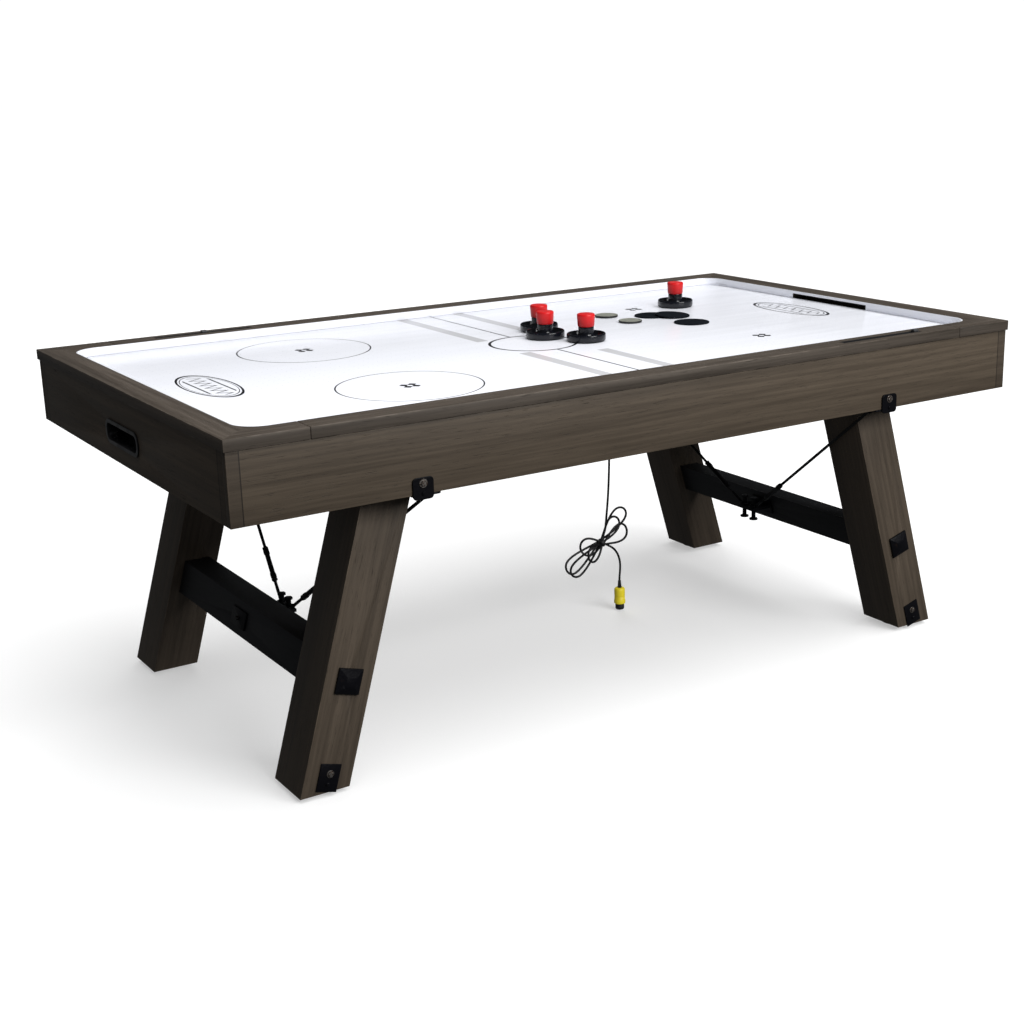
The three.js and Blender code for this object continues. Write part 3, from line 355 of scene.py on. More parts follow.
yellow_with_painted_glow.set(**{"Base Color": yellow_with_painted_glow.mix(mottle, (0.95, 0.80, 0.045, 1), (0.86, 0.69, 0.030, 1)),
              "Roughness": 0.28 + 0.2 * mottle})
yellow_with_painted_glow.bump(yellow_with_painted_glow.noise(yellow_with_painted_glow.place, 900, 2), 0.00012)
fix(grip, "table", yellow_with_painted_glow, "plug_plastic", "plug")
pin_end = turned("plug_pin_end", [(0.0022, 0.0032), (0.0106, 0.0032), (0.0119, 0.0040), (0.0124, 0.0058),
                                  (0.0124, 0.0150), (0.0118, 0.0160), (0.0118, 0.0168), (0.0124, 0.0178),
                                  (0.0125, 0.0193), (0.0022, 0.0193), (0.0022, 0.0032)], 40, plug_axis)
fix(pin_end, "table", plastic_tie, "cord_jacket")
sleeve = [(0.0034, 0.0662), (0.0060, 0.0662), (0.0058, 0.0690)]
for rib in range(5):
    height = 0.0690 + rib * 0.0034
    sleeve += [(0.0046 - rib * 0.0001, height + 0.0004), (0.0046 - rib * 0.0001, height + 0.0014),
               (0.0054 - rib * 0.0003, height + 0.0020), (0.0053 - rib * 0.0003, height + 0.0034)]
relief = turned("plug_bend_relief", [*sleeve, (0.0034, 0.0862), (0.0034, 0.0662)], 32, plug_axis)
fix(relief, "table", plastic_tie, "cord_jacket")

# ---- Trestle legs ----
# Four splayed box-section legs, glued up from oak-veneered boards and stained dark
# grey-brown, with eased corners. Each pair stands against a black stretcher.
def worked(node, name, edge, sharp=30):
    """A copy of a CAD solid with its corners eased, to take a finer finish."""
    made = bpy.data.objects.new(name, nodes[node].data.copy())
    made.data.name = name
    for key in list(made.data.keys()):
        del made.data[key]
    bpy.context.scene.collection.objects.link(made)
    bpy.ops.object.select_all(action="DESELECT")
    made.select_set(True)
    bpy.context.view_layer.objects.active = made
    if made.data.has_custom_normals:
        bpy.ops.mesh.customdata_custom_splitnormals_clear()
    bpy.ops.object.mode_set(mode="EDIT")
    bpy.ops.mesh.select_all(action="SELECT")
    bpy.ops.mesh.remove_doubles(threshold=0.00001)
    bpy.ops.mesh.dissolve_limited(angle_limit=math.radians(0.6))
    bpy.ops.object.mode_set(mode="OBJECT")
    eased = made.modifiers.new("eased", "BEVEL")
    eased.width, eased.segments, eased.angle_limit = edge, 2, math.radians(sharp)
    eased.use_clamp_overlap = True
    bpy.ops.object.modifier_apply(modifier="eased")
    bpy.ops.object.shade_smooth_by_angle(angle=math.radians(28))
    return made


def oak(name, grain, low, high, dark, light, lean=0.0, board=0.0, mitred=False):
    """Stained oak veneer: streaks and pores along the grain, rubbed paler at the corners of its box."""
    wood = Finish(name, Specular_IOR_Level=0.3)
    x, y, z = wood.axes(wood.place)
    if lean:
        side = wood.node("Math", {"operation": "SIGN"}, {0: x})
        x = x + z * side * lean
    where = wood.node("CombineXYZ", {}, {0: x, 1: y, 2: z})
    if mitred:
        on_end = wood.fade((high[1] - abs(y)) - (high[0] - abs(x)), -0.0002, 0.0002)
        where = wood.node("CombineXYZ", {}, {0: x + on_end * (y - x), 1: y + on_end * (x - y), 2: z})
    wander = wood.stretched(where, [(3.0, 3.0, 3.0), (1.5, 6, 6), (6, 1.5, 6), (6, 6, 1.5)]["-XYZ".index(grain)])
    bend = wood.noise(wander, 1.0, 2)
    wavy = wood.node("VectorMath", {"operation": "ADD"}, {
        0: where, 1: wood.node("CombineXYZ", {}, {axis: bend * (0.0 if "XYZ"[axis] == grain else 0.010)
                                                  for axis in range(3)})})
    streak = wood.noise(wood.stretched(wavy, tuple(2.2 if axis == grain else 95 for axis in "XYZ")), 1.0, 5, 0.62)
    band = wood.noise(wood.stretched(wavy, tuple(0.8 if axis == grain else 16 for axis in "XYZ")), 1.0, 3)
    pore = wood.noise(wood.stretched(wavy, tuple(26 if axis == grain else 620 for axis in "XYZ")), 1.0, 2)
    cloud = wood.noise(where, 3.4, 3)
    tone = 0.55 * wood.fade(streak, 0.32, 0.70) + 0.30 * wood.fade(band, 0.3, 0.7) + 0.25 * (cloud - 0.35)
    if board:
        plank = wood.node("TexWhiteNoise", {"noise_dimensions": "1D"},
                          {"W": wood.whole((y + 2.0) / board) + wood.whole((x + 3.0) / 0.6) * 7.0}, "Value")
        tone = tone + 0.22 * (plank - 0.5)
    pits = wood.fade(pore, 0.60, 0.74)
    spans = [wood.node("Math", {"operation": "MINIMUM"}, {0: abs(axis) - low[n], 1: high[n] - abs(axis)})
             for n, axis in enumerate((x, y, z))]
    least = wood.node("Math", {"operation": "MINIMUM"}, {0: spans[0], 1: spans[1]})
    most = wood.node("Math", {"operation": "MAXIMUM"}, {0: spans[0], 1: spans[1]})
    inner = wood.node("Math", {"operation": "MINIMUM"}, {0: most, 1: spans[2]})
    near_edge = wood.node("Math", {"operation": "MAXIMUM"}, {0: least, 1: inner})
    rubbed = wood.fade(near_edge, 0.0032, 0.0005) * wood.fade(wood.noise(where, 17, 4), 0.44, 0.70)
    stain = wood.mix(tone, dark, light)
    stain = wood.mix(pits * 0.55, stain, tuple(part * 0.35 for part in dark[:3]) + (1,))
    pale = tuple(min(part * 2.1, 0.8) for part in light[:3]) + (1,)
    stain = wood.mix(rubbed * 0.38, stain, pale)
    wood.stain, wood.x, wood.y, wood.z = stain, x, y, z
    wood.set(**{"Base Color": stain, "Roughness": 0.50 + 0.16 * streak + 0.12 * pits - 0.12 * rubbed})
    wood.bump(0.5 * streak + 0.8 * (1 - pits), 0.00035, 0.8)
    return wood


leg_lean = 0.292
leg_oak = oak("leg_oak", "Z", (0.814, 0.380, 0.0098), (0.928, 0.512, 0.6904),
              (0.049, 0.0370, 0.0262, 1), (0.104, 0.0800, 0.0580, 1), lean=leg_lean, board=0.044)
for corner in ("front_left", "front_right", "rear_left", "rear_right"):
    fix(worked(f"leg_{corner}", f"oak_leg_{corner}", 0.0026), "table", leg_oak, "leg_wood", f"leg_{corner}")

# ---- Stretchers ----
# A square black-stained beam bolted between the legs of each trestle. It leans with
# the legs, and the iron that holds the braces is bolted through its middle.
stretcher_paint = oak("black_stained_beam", "Y", (0.760, -1, 0.2), (0.905, 0.3797, 0.2885),
                      (0.0055, 0.0058, 0.0068, 1), (0.017, 0.0175, 0.020, 1))
for side in ("left", "right"):
    fix(worked(f"stretcher_{side}", f"black_stretcher_{side}", 0.0024), "table", stretcher_paint, "stretcher_wood",
        f"stretcher_{side}")

# ---- Ironwork ----
# Bolt caps, brackets, rods and hooks are cast or bent steel with a black hammered
# coat. It is rubbed to bare metal on the corners and is a little rusty at the bolts.
iron = Finish("black_hammered_iron", Specular_IOR_Level=0.14)
dents = iron.node("TexVoronoi", {"feature": "SMOOTH_F1"}, {"Vector": iron.place, "Scale": 210}, "Distance")
rub = iron.fade(iron.noise(iron.place, 95, 5), 0.62, 0.80)
rust = iron.fade(iron.noise(iron.place, 38, 4), 0.63, 0.75)
iron.set(**{"Base Color": iron.mix(rust * 0.55, iron.mix(rub * 0.6, (0.0022, 0.0022, 0.0034, 1),
                                                          (0.014, 0.014, 0.017, 1)), (0.026, 0.012, 0.006, 1)),
            "Roughness": 0.40 + 0.3 * rub + 0.2 * rust})
iron.bump(dents, 0.0008, 0.4)
bright = Finish("worn_bright_steel", Metallic=1.0, Specular_IOR_Level=0.5)
tarnish = bright.noise(bright.place, 260, 4)
bright.set(**{"Base Color": bright.mix(bright.fade(tarnish, 0.4, 0.65), (0.24, 0.225, 0.21, 1),
                                       (0.07, 0.045, 0.032, 1)), "Roughness": 0.30 + 0.4 * tarnish})
bright.bump(tarnish, 0.0005)


def block(name, low, high, edge=0.0, segments=2):
    """A squared piece between two corners, with its edges rounded."""
    bpy.ops.object.select_all(action="DESELECT")
    middle = [(a + b) / 2 for a, b in zip(low, high)]
    bpy.ops.mesh.primitive_cube_add(size=1, location=middle, scale=[b - a for a, b in zip(low, high)])
    made = bpy.context.object
    made.name = made.data.name = name
    bpy.ops.object.transform_apply(location=True, rotation=True, scale=True)
    if edge:
        bpy.ops.object.mode_set(mode="EDIT")
        bpy.ops.mesh.select_all(action="SELECT")
        bpy.ops.mesh.bevel(offset=edge, segments=segments, affect="EDGES", clamp_overlap=True)
        bpy.ops.object.mode_set(mode="OBJECT")
    bpy.ops.object.shade_smooth_by_angle(angle=math.radians(32))
    return made


def shelved(model):
    """Takes a modelled piece out of the scene and keeps its mesh, ready to be copied."""
    shape = model.data
    bpy.data.objects.remove(model)
    return shape


def copied(name, shape, place):
    """One more piece of a modelled shape, with its own mesh, put in its place."""
    made = bpy.data.objects.new(name, shape.copy())
    made.data.name = name
    made.data.transform(place)
    bpy.context.scene.collection.objects.link(made)
    return made


def stud_shapes(radius, height, sides=6):
    """A chamfered bolt head and the pressed washer under it, ready to be copied."""
    washer = turned("washer", [(0.001, 0.0001), (radius * 1.5, 0.0001), (radius * 1.55, 0.0006),
                               (radius * 1.45, 0.0012), (0.001, 0.0012), (0.001, 0.0001)], 20)
    head = turned("head", [(0.0, 0.0014), (radius * 1.08, 0.0014), (radius * 1.08, height * 0.8),
                           (radius * 0.86, height), (0.0, height)], sides)
    return {"washer": shelved(washer), "head": shelved(head)}


def stud(name, shapes, place, finish=bright, slot="black_iron"):
    """A bolt head with its washer, standing up from its place on the table."""
    for part, shape in shapes.items():
        fix(copied(f"{name}_{part}", shape, place), "table", finish, slot)


def leaning(x, y, z, side, face):
    """A place on a leg's outer face: up along the leg, with its own Z axis out of the face."""
    up = Vector((-side * leg_lean, 0, 1)).normalized()
    out = Vector((0, face, 0))
    return Matrix.Translation((x, y, z)) @ Matrix((up.cross(out), up, out)).transposed().to_4x4()


corners = [(f"{front}_{end}", face, side) for front, face in (("front", -1), ("rear", 1))
           for end, side in (("left", -1), ("right", 1))]
foot_x, foot_y, foot_z, plate_deep = 0.871 - leg_lean * 0.045, 0.5121, 0.045, 0.0032
foot_plate = shelved(block("foot_plate", (-0.024, -0.0335, 0.0), (0.024, 0.029, plate_deep), 0.0011))
foot_bolt, foot_rivet = stud_shapes(0.0056, 0.0050), stud_shapes(0.0036, 0.0030, 12)
for spot, face, side in corners:
    fix(worked(f"leg_bolt_{spot}", f"pyramid_cap_{spot}", 0.0012), "table", iron, "black_iron", f"leg_bolt_{spot}")
    set_in = leaning(side * foot_x, face * foot_y, foot_z, side, face)
    fix(copied(f"foot_plate_{spot}", foot_plate, set_in), "table", iron, "black_iron")
    stud(f"foot_bolt_{spot}", foot_bolt, set_in @ Matrix.Translation((0.001, 0.007, plate_deep)))
    stud(f"foot_rivet_{spot}", foot_rivet, set_in @ Matrix.Translation((0.0, -0.016, plate_deep)), iron)

# ---- Levelling feet ----
# A round steel pad painted black, with a raised boss, on a threaded stem that turns
# up into the leg's end grain.
foot_pad = shelved(turned("foot_pad", [
    (0.0, 0.0), (0.0385, 0.0), (0.0412, 0.0009), (0.042, 0.0028), (0.0412, 0.0048), (0.036, 0.0064), (0.022, 0.0074),
    (0.0125, 0.0094), (0.006, 0.0095), (0.006, 0.052), (0.0048, 0.0535), (0.0, 0.0535)], 48))


def stand_of(node):
    """The place at the middle of a node's box, on its underside."""
    low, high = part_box(node)
    return Matrix.Translation(((low[0] + high[0]) / 2, (low[1] + high[1]) / 2, low[2]))


for spot, *_ in corners:
    fix(copied(f"foot_pad_{spot}", foot_pad, stand_of(f"levelling_foot_{spot}")), f"foot_{spot}", iron,
        "foot_iron", f"levelling_foot_{spot}")

# ---- Braces ----
# On each side of both trestles a threaded rod with a turnbuckle pulls the apron
# towards the stretcher. It hangs from a bolted bracket and hooks over an iron pin.
def between(start, end):
    """A place at start whose own Z axis points to end."""
    way = (Vector(end) - Vector(start)).normalized()
    return Matrix.Translation(start) @ way.to_track_quat("Z", "Y").to_matrix().to_4x4()


def rounded_plate(name, low, high, thin, corner, edge):
    """A flat plate with round corners and broken edges. It is thinnest along the axis numbered thin."""
    made = block(name, low, high)
    bpy.ops.object.mode_set(mode="EDIT")
    bpy.ops.mesh.select_mode(type="EDGE")
    bpy.ops.mesh.select_all(action="DESELECT")
    shape = bmesh.from_edit_mesh(made.data)
    for line in shape.edges:
        run = (line.verts[0].co - line.verts[1].co).normalized()
        line.select = abs(run[thin]) > 0.9
    bmesh.update_edit_mesh(made.data)
    bpy.ops.mesh.bevel(offset=corner, segments=4, affect="EDGES", clamp_overlap=True)
    bpy.ops.mesh.select_all(action="DESELECT")
    shape = bmesh.from_edit_mesh(made.data)
    for line in shape.edges:
        run = (line.verts[0].co - line.verts[1].co).normalized()
        line.select = abs(run[thin]) < 0.1
    bmesh.update_edit_mesh(made.data)
    bpy.ops.mesh.bevel(offset=edge, segments=2, affect="EDGES", clamp_overlap=True)
    bpy.ops.object.mode_set(mode="OBJECT")
    bpy.ops.object.shade_smooth_by_angle(angle=math.radians(32))
    return made


def thread(start, end, radius, pitch=0.0022):
    """Outline points of a threaded length of rod."""
    points = []
    for turn in range(int((end - start) / pitch)):
        points += [(radius, start + turn * pitch), (radius - 0.0005, start + (turn + 0.5) * pitch)]
    return points


def painted(piece, slot="black_iron"):
    return fix(piece, "table", iron, slot)


apron_y, leaf_face, bracket_offset = 0.6055, 0.0042, 0.034
rod_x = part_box("brace_front_right")[0][0] + 0.010
plate_x = rod_x + bracket_offset
top = Vector((rod_x, apron_y - 0.030, 0.6435))
eye = Vector((0.7146, 0.020, 0.2563))
foot = eye + Vector((top.x - eye.x, top.y - eye.y, 0)).normalized() * 0.0105
reach = (top - foot).length
leaf = shelved(rounded_plate("leaf", (-0.024, -0.00195, 0.6398), (0.024, 0.00195, 0.6868), 1, 0.0085, 0.0008))
lip = shelved(rounded_plate("lip", (-0.03365, -0.0174, 0.6458), (0.03365, 0.0174, 0.6496), 2, 0.0075, 0.0008))
brace_bolt, brace_rivet = stud_shapes(0.0062, 0.0049), stud_shapes(0.0034, 0.0030, 12)
rod_socket = shelved(turned("rod_socket", [(0, 0.0), (0.0052, 0.0), (0.0062, -0.0016), (0.0062, -0.0070),
                                           (0.0046, -0.0088), (0, -0.0088)], 24))
rod = shelved(turned("rod", [
    (0, 0), (0.0034, 0), (0.0040, 0.001), (0.0040, 0.040), *thread(0.042, 0.072, 0.0039), (0.0039, 0.074),
    (0.0039, 0.150), *thread(0.156, 0.196, 0.0039), (0.0040, 0.198), (0.0040, reach - 0.002), (0, reach - 0.001)], 14))
sleeve_nut = shelved(turned("sleeve_nut", [
    (0.0041, 0.070), (0.0062, 0.070), (0.0074, 0.0716), (0.0075, 0.0840), (0.0062, 0.0865), (0.0061, 0.1430),
    (0.0075, 0.1455), (0.0075, 0.1580), (0.0062, 0.1598), (0.0041, 0.1598), (0.0041, 0.070)], 6))
locknut = shelved(turned("locknut", [(0.0040, 0), (0.0066, 0), (0.0074, 0.0009), (0.0074, 0.0052),
                                     (0.0066, 0.0060), (0.0040, 0.0060), (0.0040, 0)], 6))
bpy.ops.object.select_all(action="DESELECT")
bpy.ops.mesh.primitive_torus_add(major_radius=0.0108, minor_radius=0.0038, major_segments=36, minor_segments=12)
bpy.ops.object.shade_smooth_by_angle(angle=math.radians(60))
hook_eye = shelved(bpy.context.object)
for spot, face, side in corners:
    mirror = Vector((side, face, 1))
    out = Matrix(((1, 0, 0), (0, 0, face), (0, -face, 0))).to_4x4()
    on_leaf = Vector((side * plate_x, face * (apron_y + leaf_face), 0))
    along_rod = between(foot * mirror, top * mirror)
    leaf_middle = Matrix.Translation((side * plate_x, face * (apron_y + leaf_face - 0.00195), 0))
    fix(copied(f"brace_leaf_{spot}", leaf, leaf_middle), "table", iron, "black_iron", f"brace_{spot}")
    painted(copied(f"brace_lip_{spot}", lip,
                   Matrix.Translation((side * (rod_x + 0.02385), face * (apron_y - 0.0164), 0))))
    stud(f"brace_bolt_{spot}", brace_bolt, Matrix.Translation(on_leaf + Vector((0, 0, 0.6745))) @ out)
    stud(f"brace_rivet_{spot}", brace_rivet, Matrix.Translation(on_leaf + Vector((0, 0, 0.6530))) @ out, iron)
    painted(copied(f"brace_socket_{spot}", rod_socket, Matrix.Translation((side * rod_x, face * top.y, 0.6460))))
    painted(copied(f"brace_rod_{spot}", rod, along_rod))
    painted(copied(f"turnbuckle_{spot}", sleeve_nut, along_rod))
    for count, height in enumerate((0.0625, 0.1605)):
        painted(copied(f"locknut_{spot}_{count}", locknut, along_rod @ Matrix.Translation((0, 0, height))))
    painted(copied(f"brace_eye_{spot}", hook_eye, Matrix.Translation(eye * mirror)))

for end in ("left", "right"):
    fix(worked(f"brace_anchor_{end}", f"brace_pin_iron_{end}", 0.0009), "table", iron, "black_iron",
        f"brace_anchor_{end}")

# ---- Aprons ----
# Four deep side boards veneered in the same stained oak, the long ones running
# past the end ones. A grooved corner strip closes each end of a board.
def strip_line(board, axis, start):
    """A darker corner strip past start along the board, parted from it by a fine groove."""
    past = board.fade(abs(axis), start, start + 0.001)
    groove = board.fade(abs(abs(axis) - start), 0.0017, 0.0006)
    shade = board.mix(past * 0.35, board.stain, (0.030, 0.0235, 0.0185, 1))
    board.set(**{"Base Color": board.mix(groove * 0.85, shade, (0.006, 0.005, 0.004, 1))})


apron_long_oak = oak("apron_oak_long", "X", (-1, 0.587, 0.650), (1.063, 0.6055, 0.8007),
                     (0.049, 0.0365, 0.0250, 1), (0.108, 0.0830, 0.0590, 1))
strip_line(apron_long_oak, apron_long_oak.x, 1.036)
apron_end_oak = oak("apron_oak_end", "Y", (1.045, -1, 0.650), (1.063, 0.5872, 0.8007),
                    (0.049, 0.0365, 0.0250, 1), (0.108, 0.0830, 0.0590, 1))
strip_line(apron_end_oak, apron_end_oak.y, 0.563)
for side, board in (("front", apron_long_oak), ("rear", apron_long_oak), ("left", apron_end_oak),
                    ("right", apron_end_oak)):
    fix(worked(f"apron_{side}", f"oak_apron_{side}", 0.0012), "table", board, "cabinet_wood", f"apron_{side}")

# ---- Top rail ----
# A flat stained cap round the rink, greyer and more worn than the aprons, made in
# four lengths that meet in a fine joint on each long side.
rail_oak = oak("rail_oak", "X", (-1, -1, 0.801), (1.067, 0.6095, 0.826),
               (0.034, 0.0265, 0.0200, 1), (0.096, 0.0790, 0.0640, 1), mitred=True)
for side in ("front", "rear", "left", "right"):
    fix(worked(f"rail_{side}", f"oak_rail_{side}", 0.0015), "table", rail_oak, "rail_wood", f"rail_{side}")

# ---- Playfield ----
# A gloss white laminate sheet, printed in black and light grey with plain rink
# markings, and drilled all over with fine air holes in a square pattern.
field = Finish("white_printed_laminate", Specular_IOR_Level=0.12)
fx, fy, _ = field.axes(field.place)


def ring(x, y, radius, width):
    """A printed circle's line."""
    off_x, off_y = fx - x, fy - y
    far = field.root(off_x * off_x + off_y * off_y)
    return field.fade(abs(far - radius), width / 2 + 0.0005, width / 2 - 0.0005)


def bar(value, middle, half):
    """A printed band about the middle, across the whole field."""
    return field.fade(abs(value - middle), half + 0.0005, half - 0.0005)


def either(*marks):
    """Any of the printed marks."""
    total = marks[0]
    for mark in marks[1:]:
        total = field.node("Math", {"operation": "MAXIMUM"}, {0: total, 1: mark})
    return total


def cross(x, y, size):
    """A small four-armed face-off mark with a dot between its arms."""
    off_x, off_y = abs(fx - x), abs(fy - y)
    arms = field.fade(abs(off_x - off_y), 0.0062, 0.0050) * field.fade(off_x + off_y, size, size - 0.002) * \
        field.fade(off_x + off_y, size * 0.28, size * 0.28 + 0.002)
    ends = field.fade(abs(off_x - size * 0.30) + abs(off_y - size * 0.30), 0.0125, 0.0110)
    return either(arms, ends)


def emblem(x):
    """A plain oval badge: two outlines round a row of stitched zigzag waves."""
    off_x, off_y = (fx - x) / 0.0575, fy / 0.145
    far = field.root(off_x * off_x + off_y * off_y)
    outline = field.fade(abs(far - 0.985), 0.042, 0.034)
    inner = field.fade(abs(far - 0.88), 0.016, 0.012)
    inside = field.fade(far, 0.80, 0.78)
    wave = field.node("Math", {"operation": "PINGPONG"}, {0: fy + 2, 1: 0.0165})
    zigzag = field.fade(abs(fx - x - (wave - 0.0083) * 1.9), 0.0046, 0.0036)
    bead = field.node("Math", {"operation": "PINGPONG"}, {0: fy + 2, 1: 0.0055})
    dots = field.fade(abs(abs(fx - x) - 0.030) + abs(bead - 0.0027) * 0.6, 0.0036, 0.0026)
    return either(outline, inner, inside * either(zigzag, dots))


wing = field.fade(abs(fy), 0.109, 0.111)
centre_line = bar(fx, 0, 0.0026) * wing
circle_x, spot_x, mark_y, badge_x = -0.5, 0.515, 0.281, 0.858
black_print = either(centre_line, ring(0, 0, 0.110, 0.0075),
                     *(ring(circle_x, y, 0.165, 0.0036) for y in (mark_y, -mark_y)),
                     *(cross(x, y, 0.034) for x in (circle_x, spot_x) for y in (mark_y, -mark_y)),
                     emblem(-badge_x), emblem(badge_x))
grey_print = either(bar(fx, -0.088, 0.016) * field.fade(abs(fy), 0.100, 0.101),
                    bar(fx, 0.088, 0.016) * field.fade(abs(fy), 0.180, 0.181))
half_pitch = 0.0125
hole_x = field.node("Math", {"operation": "PINGPONG"}, {0: fx + 3, 1: half_pitch})
hole_y = field.node("Math", {"operation": "PINGPONG"}, {0: fy + 3, 1: half_pitch})
hole = field.fade(hole_x * hole_x + hole_y * hole_y, 0.0000012, 0.0000004)
haze = field.noise(field.place, 7, 3)
smear = field.noise(field.stretched(field.place, (3, 26, 1)), 1.0, 4)
white = field.mix(haze, (0.81, 0.825, 0.88, 1), (0.845, 0.855, 0.905, 1))
printed = field.mix(grey_print * 0.9, white, (0.50, 0.50, 0.515, 1))
printed = field.mix(black_print, printed, (0.007, 0.007, 0.009, 1))
field.set(**{"Base Color": field.mix(hole * 0.55, printed, (0.16, 0.16, 0.17, 1)),
             "Roughness": 0.17 + 0.12 * smear + 0.06 * black_print})
field.bump(1 - hole, 0.0004, 0.6)
fix(worked("playfield", "printed_playfield", 0.0002), "table", field, "playfield_laminate", "playfield")

# ---- Rink wall and goals ----
# A white moulded lining stands round the field inside the rail. At each end it is cut
# away for the goal, whose slot is lined with black plastic and drops to the tray.
lining = Finish("white_moulded_wall", 0.24, Coat_Weight=0.2)
film = lining.noise(lining.stretched(lining.place, (3, 3, 60)), 1.0, 4)
lz = lining.axes(lining.place)[2]
scuffs = lining.fade(lining.noise(lining.stretched(lining.place, (9, 9, 160)), 1.0, 4), 0.60, 0.72) * \
    lining.fade(lz, 0.816, 0.808)
lining.set(**{"Base Color": lining.mix(scuffs * 0.35, lining.mix(film, (0.80, 0.815, 0.87, 1), (0.84, 0.85, 0.895, 1)),
                                       (0.30, 0.30, 0.31, 1)), "Roughness": 0.20 + 0.2 * film})
lining.bump(film, 0.0003, 0.4)
fix(worked("rink_wall", "moulded_rink_wall", 0.0005), "table", lining, "rink_wall_plastic", "rink_wall")

black_plastic = Finish("black_moulded_plastic", 0.42, Specular_IOR_Level=0.5)
leather = black_plastic.node("TexVoronoi", {}, {"Vector": black_plastic.place, "Scale": 900}, "Distance")
dust = black_plastic.fade(black_plastic.noise(black_plastic.place, 30, 5), 0.52, 0.75)
black_plastic.set(**{"Base Color": black_plastic.mix(dust, (0.0055, 0.0055, 0.0062, 1), (0.014, 0.014, 0.015, 1)),
                     "Roughness": 0.36 + 0.2 * dust})
black_plastic.bump(leather, 0.00025, 0.5)
for side in ("left", "right"):
    fix(worked(f"puck_return_{side}", f"return_bezel_{side}", 0.0011), "table", black_plastic, "black_plastic",
        f"puck_return_{side}")
    fix(worked(f"goal_tray_{side}", f"goal_tray_shell_{side}", 0.0012), "table", black_plastic, "black_plastic",
        f"goal_tray_{side}")
hood = shelved(block("hood", (-0.0192, -0.1532, 0.8161), (0.0192, 0.1532, 0.8175), 0.0004, 1))
back = shelved(block("back", (-0.0012, -0.1532, 0.8045), (0.0012, 0.1532, 0.8160), 0.0004, 1))
for name, sign in (("left", -1), ("right", 1)):
    fix(copied(f"goal_hood_{name}", hood, Matrix.Translation((sign * 1.0228, 0, 0))), "table", black_plastic,
        "black_plastic")
    fix(copied(f"goal_back_{name}", back, Matrix.Translation((sign * 1.0412, 0, 0))), "table", black_plastic,
        "black_plastic")

# ---- Scorers ----
# A black slotted track is let into each long rail. A square marker slides along its
# groove past small engraved ticks.
track = Finish("black_scorer_track", Specular_IOR_Level=0.2)
tx, ty, _ = track.axes(track.place)
tick = track.node("Math", {"operation": "PINGPONG"}, {0: tx + 3, 1: 0.012})
from_groove = abs(abs(ty) - 0.5775)
cut = track.fade(tick, 0.0009, 0.0004) * track.fade(from_groove, 0.0084, 0.0080) * \
    track.fade(from_groove, 0.0050, 0.0054)
grime = track.noise(track.place, 60, 4)
track.set(**{"Base Color": track.mix(cut, track.mix(grime, (0.003, 0.003, 0.004, 1), (0.009, 0.009, 0.010, 1)),
                                     (0.045, 0.045, 0.046, 1)), "Roughness": 0.36 + 0.25 * grime})
track.bump(1 - cut, 0.0003, 0.6)
marker = Finish("dark_marker_bead", 0.34)
swirl = marker.noise(marker.place, 240, 3)
marker.set(**{"Base Color": marker.mix(swirl, (0.030, 0.031, 0.033, 1), (0.065, 0.066, 0.070, 1))})
marker.bump(swirl, 0.0002, 0.5)
for side in ("front", "rear"):
    fix(worked(f"scorer_track_{side}", f"slotted_track_{side}", 0.0005), "table", track, "black_plastic",
        f"scorer_track_{side}")
    fix(worked(f"scorer_slider_{side}", f"marker_bead_{side}", 0.0009), f"scorer_marker_{side}", marker,
        "scorer_marker", f"scorer_slider_{side}")

# ---- Cabinet frame and air chamber ----
# Under the field a frame of plain softwood is glued and screwed to the aprons. A
# hardboard sheet closes it from below, so the blower's air leaves by the field's holes.
softwood = oak("unfinished_softwood", "X", (-1, -1, -1), (9, 9, 9), (0.34, 0.22, 0.12, 1), (0.56, 0.41, 0.25, 1))
fix(worked("cabinet_frame", "softwood_frame", 0.0015), "table", softwood, "frame_wood", "cabinet_frame")
hardboard = Finish("brown_hardboard", 0.62)
fibre = hardboard.noise(hardboard.place, 420, 5, 0.7)
weave = hardboard.node("TexVoronoi", {}, {"Vector": hardboard.place, "Scale": 520}, "Distance")
stain_patch = hardboard.noise(hardboard.place, 5, 4)
hardboard.set(**{"Base Color": hardboard.mix(0.6 * fibre + 0.5 * stain_patch, (0.115, 0.062, 0.030, 1),
                                             (0.26, 0.155, 0.085, 1)), "Roughness": 0.52 + 0.2 * fibre})
hardboard.bump(weave + fibre, 0.0004, 0.6)
fix(worked("air_chamber_floor", "hardboard_chamber_floor", 0.0008), "table", hardboard, "chamber_board",
    "air_chamber_floor")
low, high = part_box("air_chamber_floor")
down = Matrix.Rotation(math.pi, 4, "X")
chamber_screw = shelved(turned("chamber_screw", [(0, 0.0002), (0.0042, 0.0002), (0.0040, 0.0010), (0.0026, 0.0019),
                                                 (0.0011, 0.0022), (0.0010, 0.0012), (0, 0.0011)], 14))
seats = [(low[0] + 0.014 + step * (high[0] - low[0] - 0.028) / 8, y, low[2])
         for step in range(9) for y in (low[1] + 0.012, high[1] - 0.012)]
for count, seat in enumerate(seats, 1):
    fix(copied(f"chamber_screw_{count}", chamber_screw, Matrix.Translation(seat) @ down), "table", bright,
        "motor_steel")

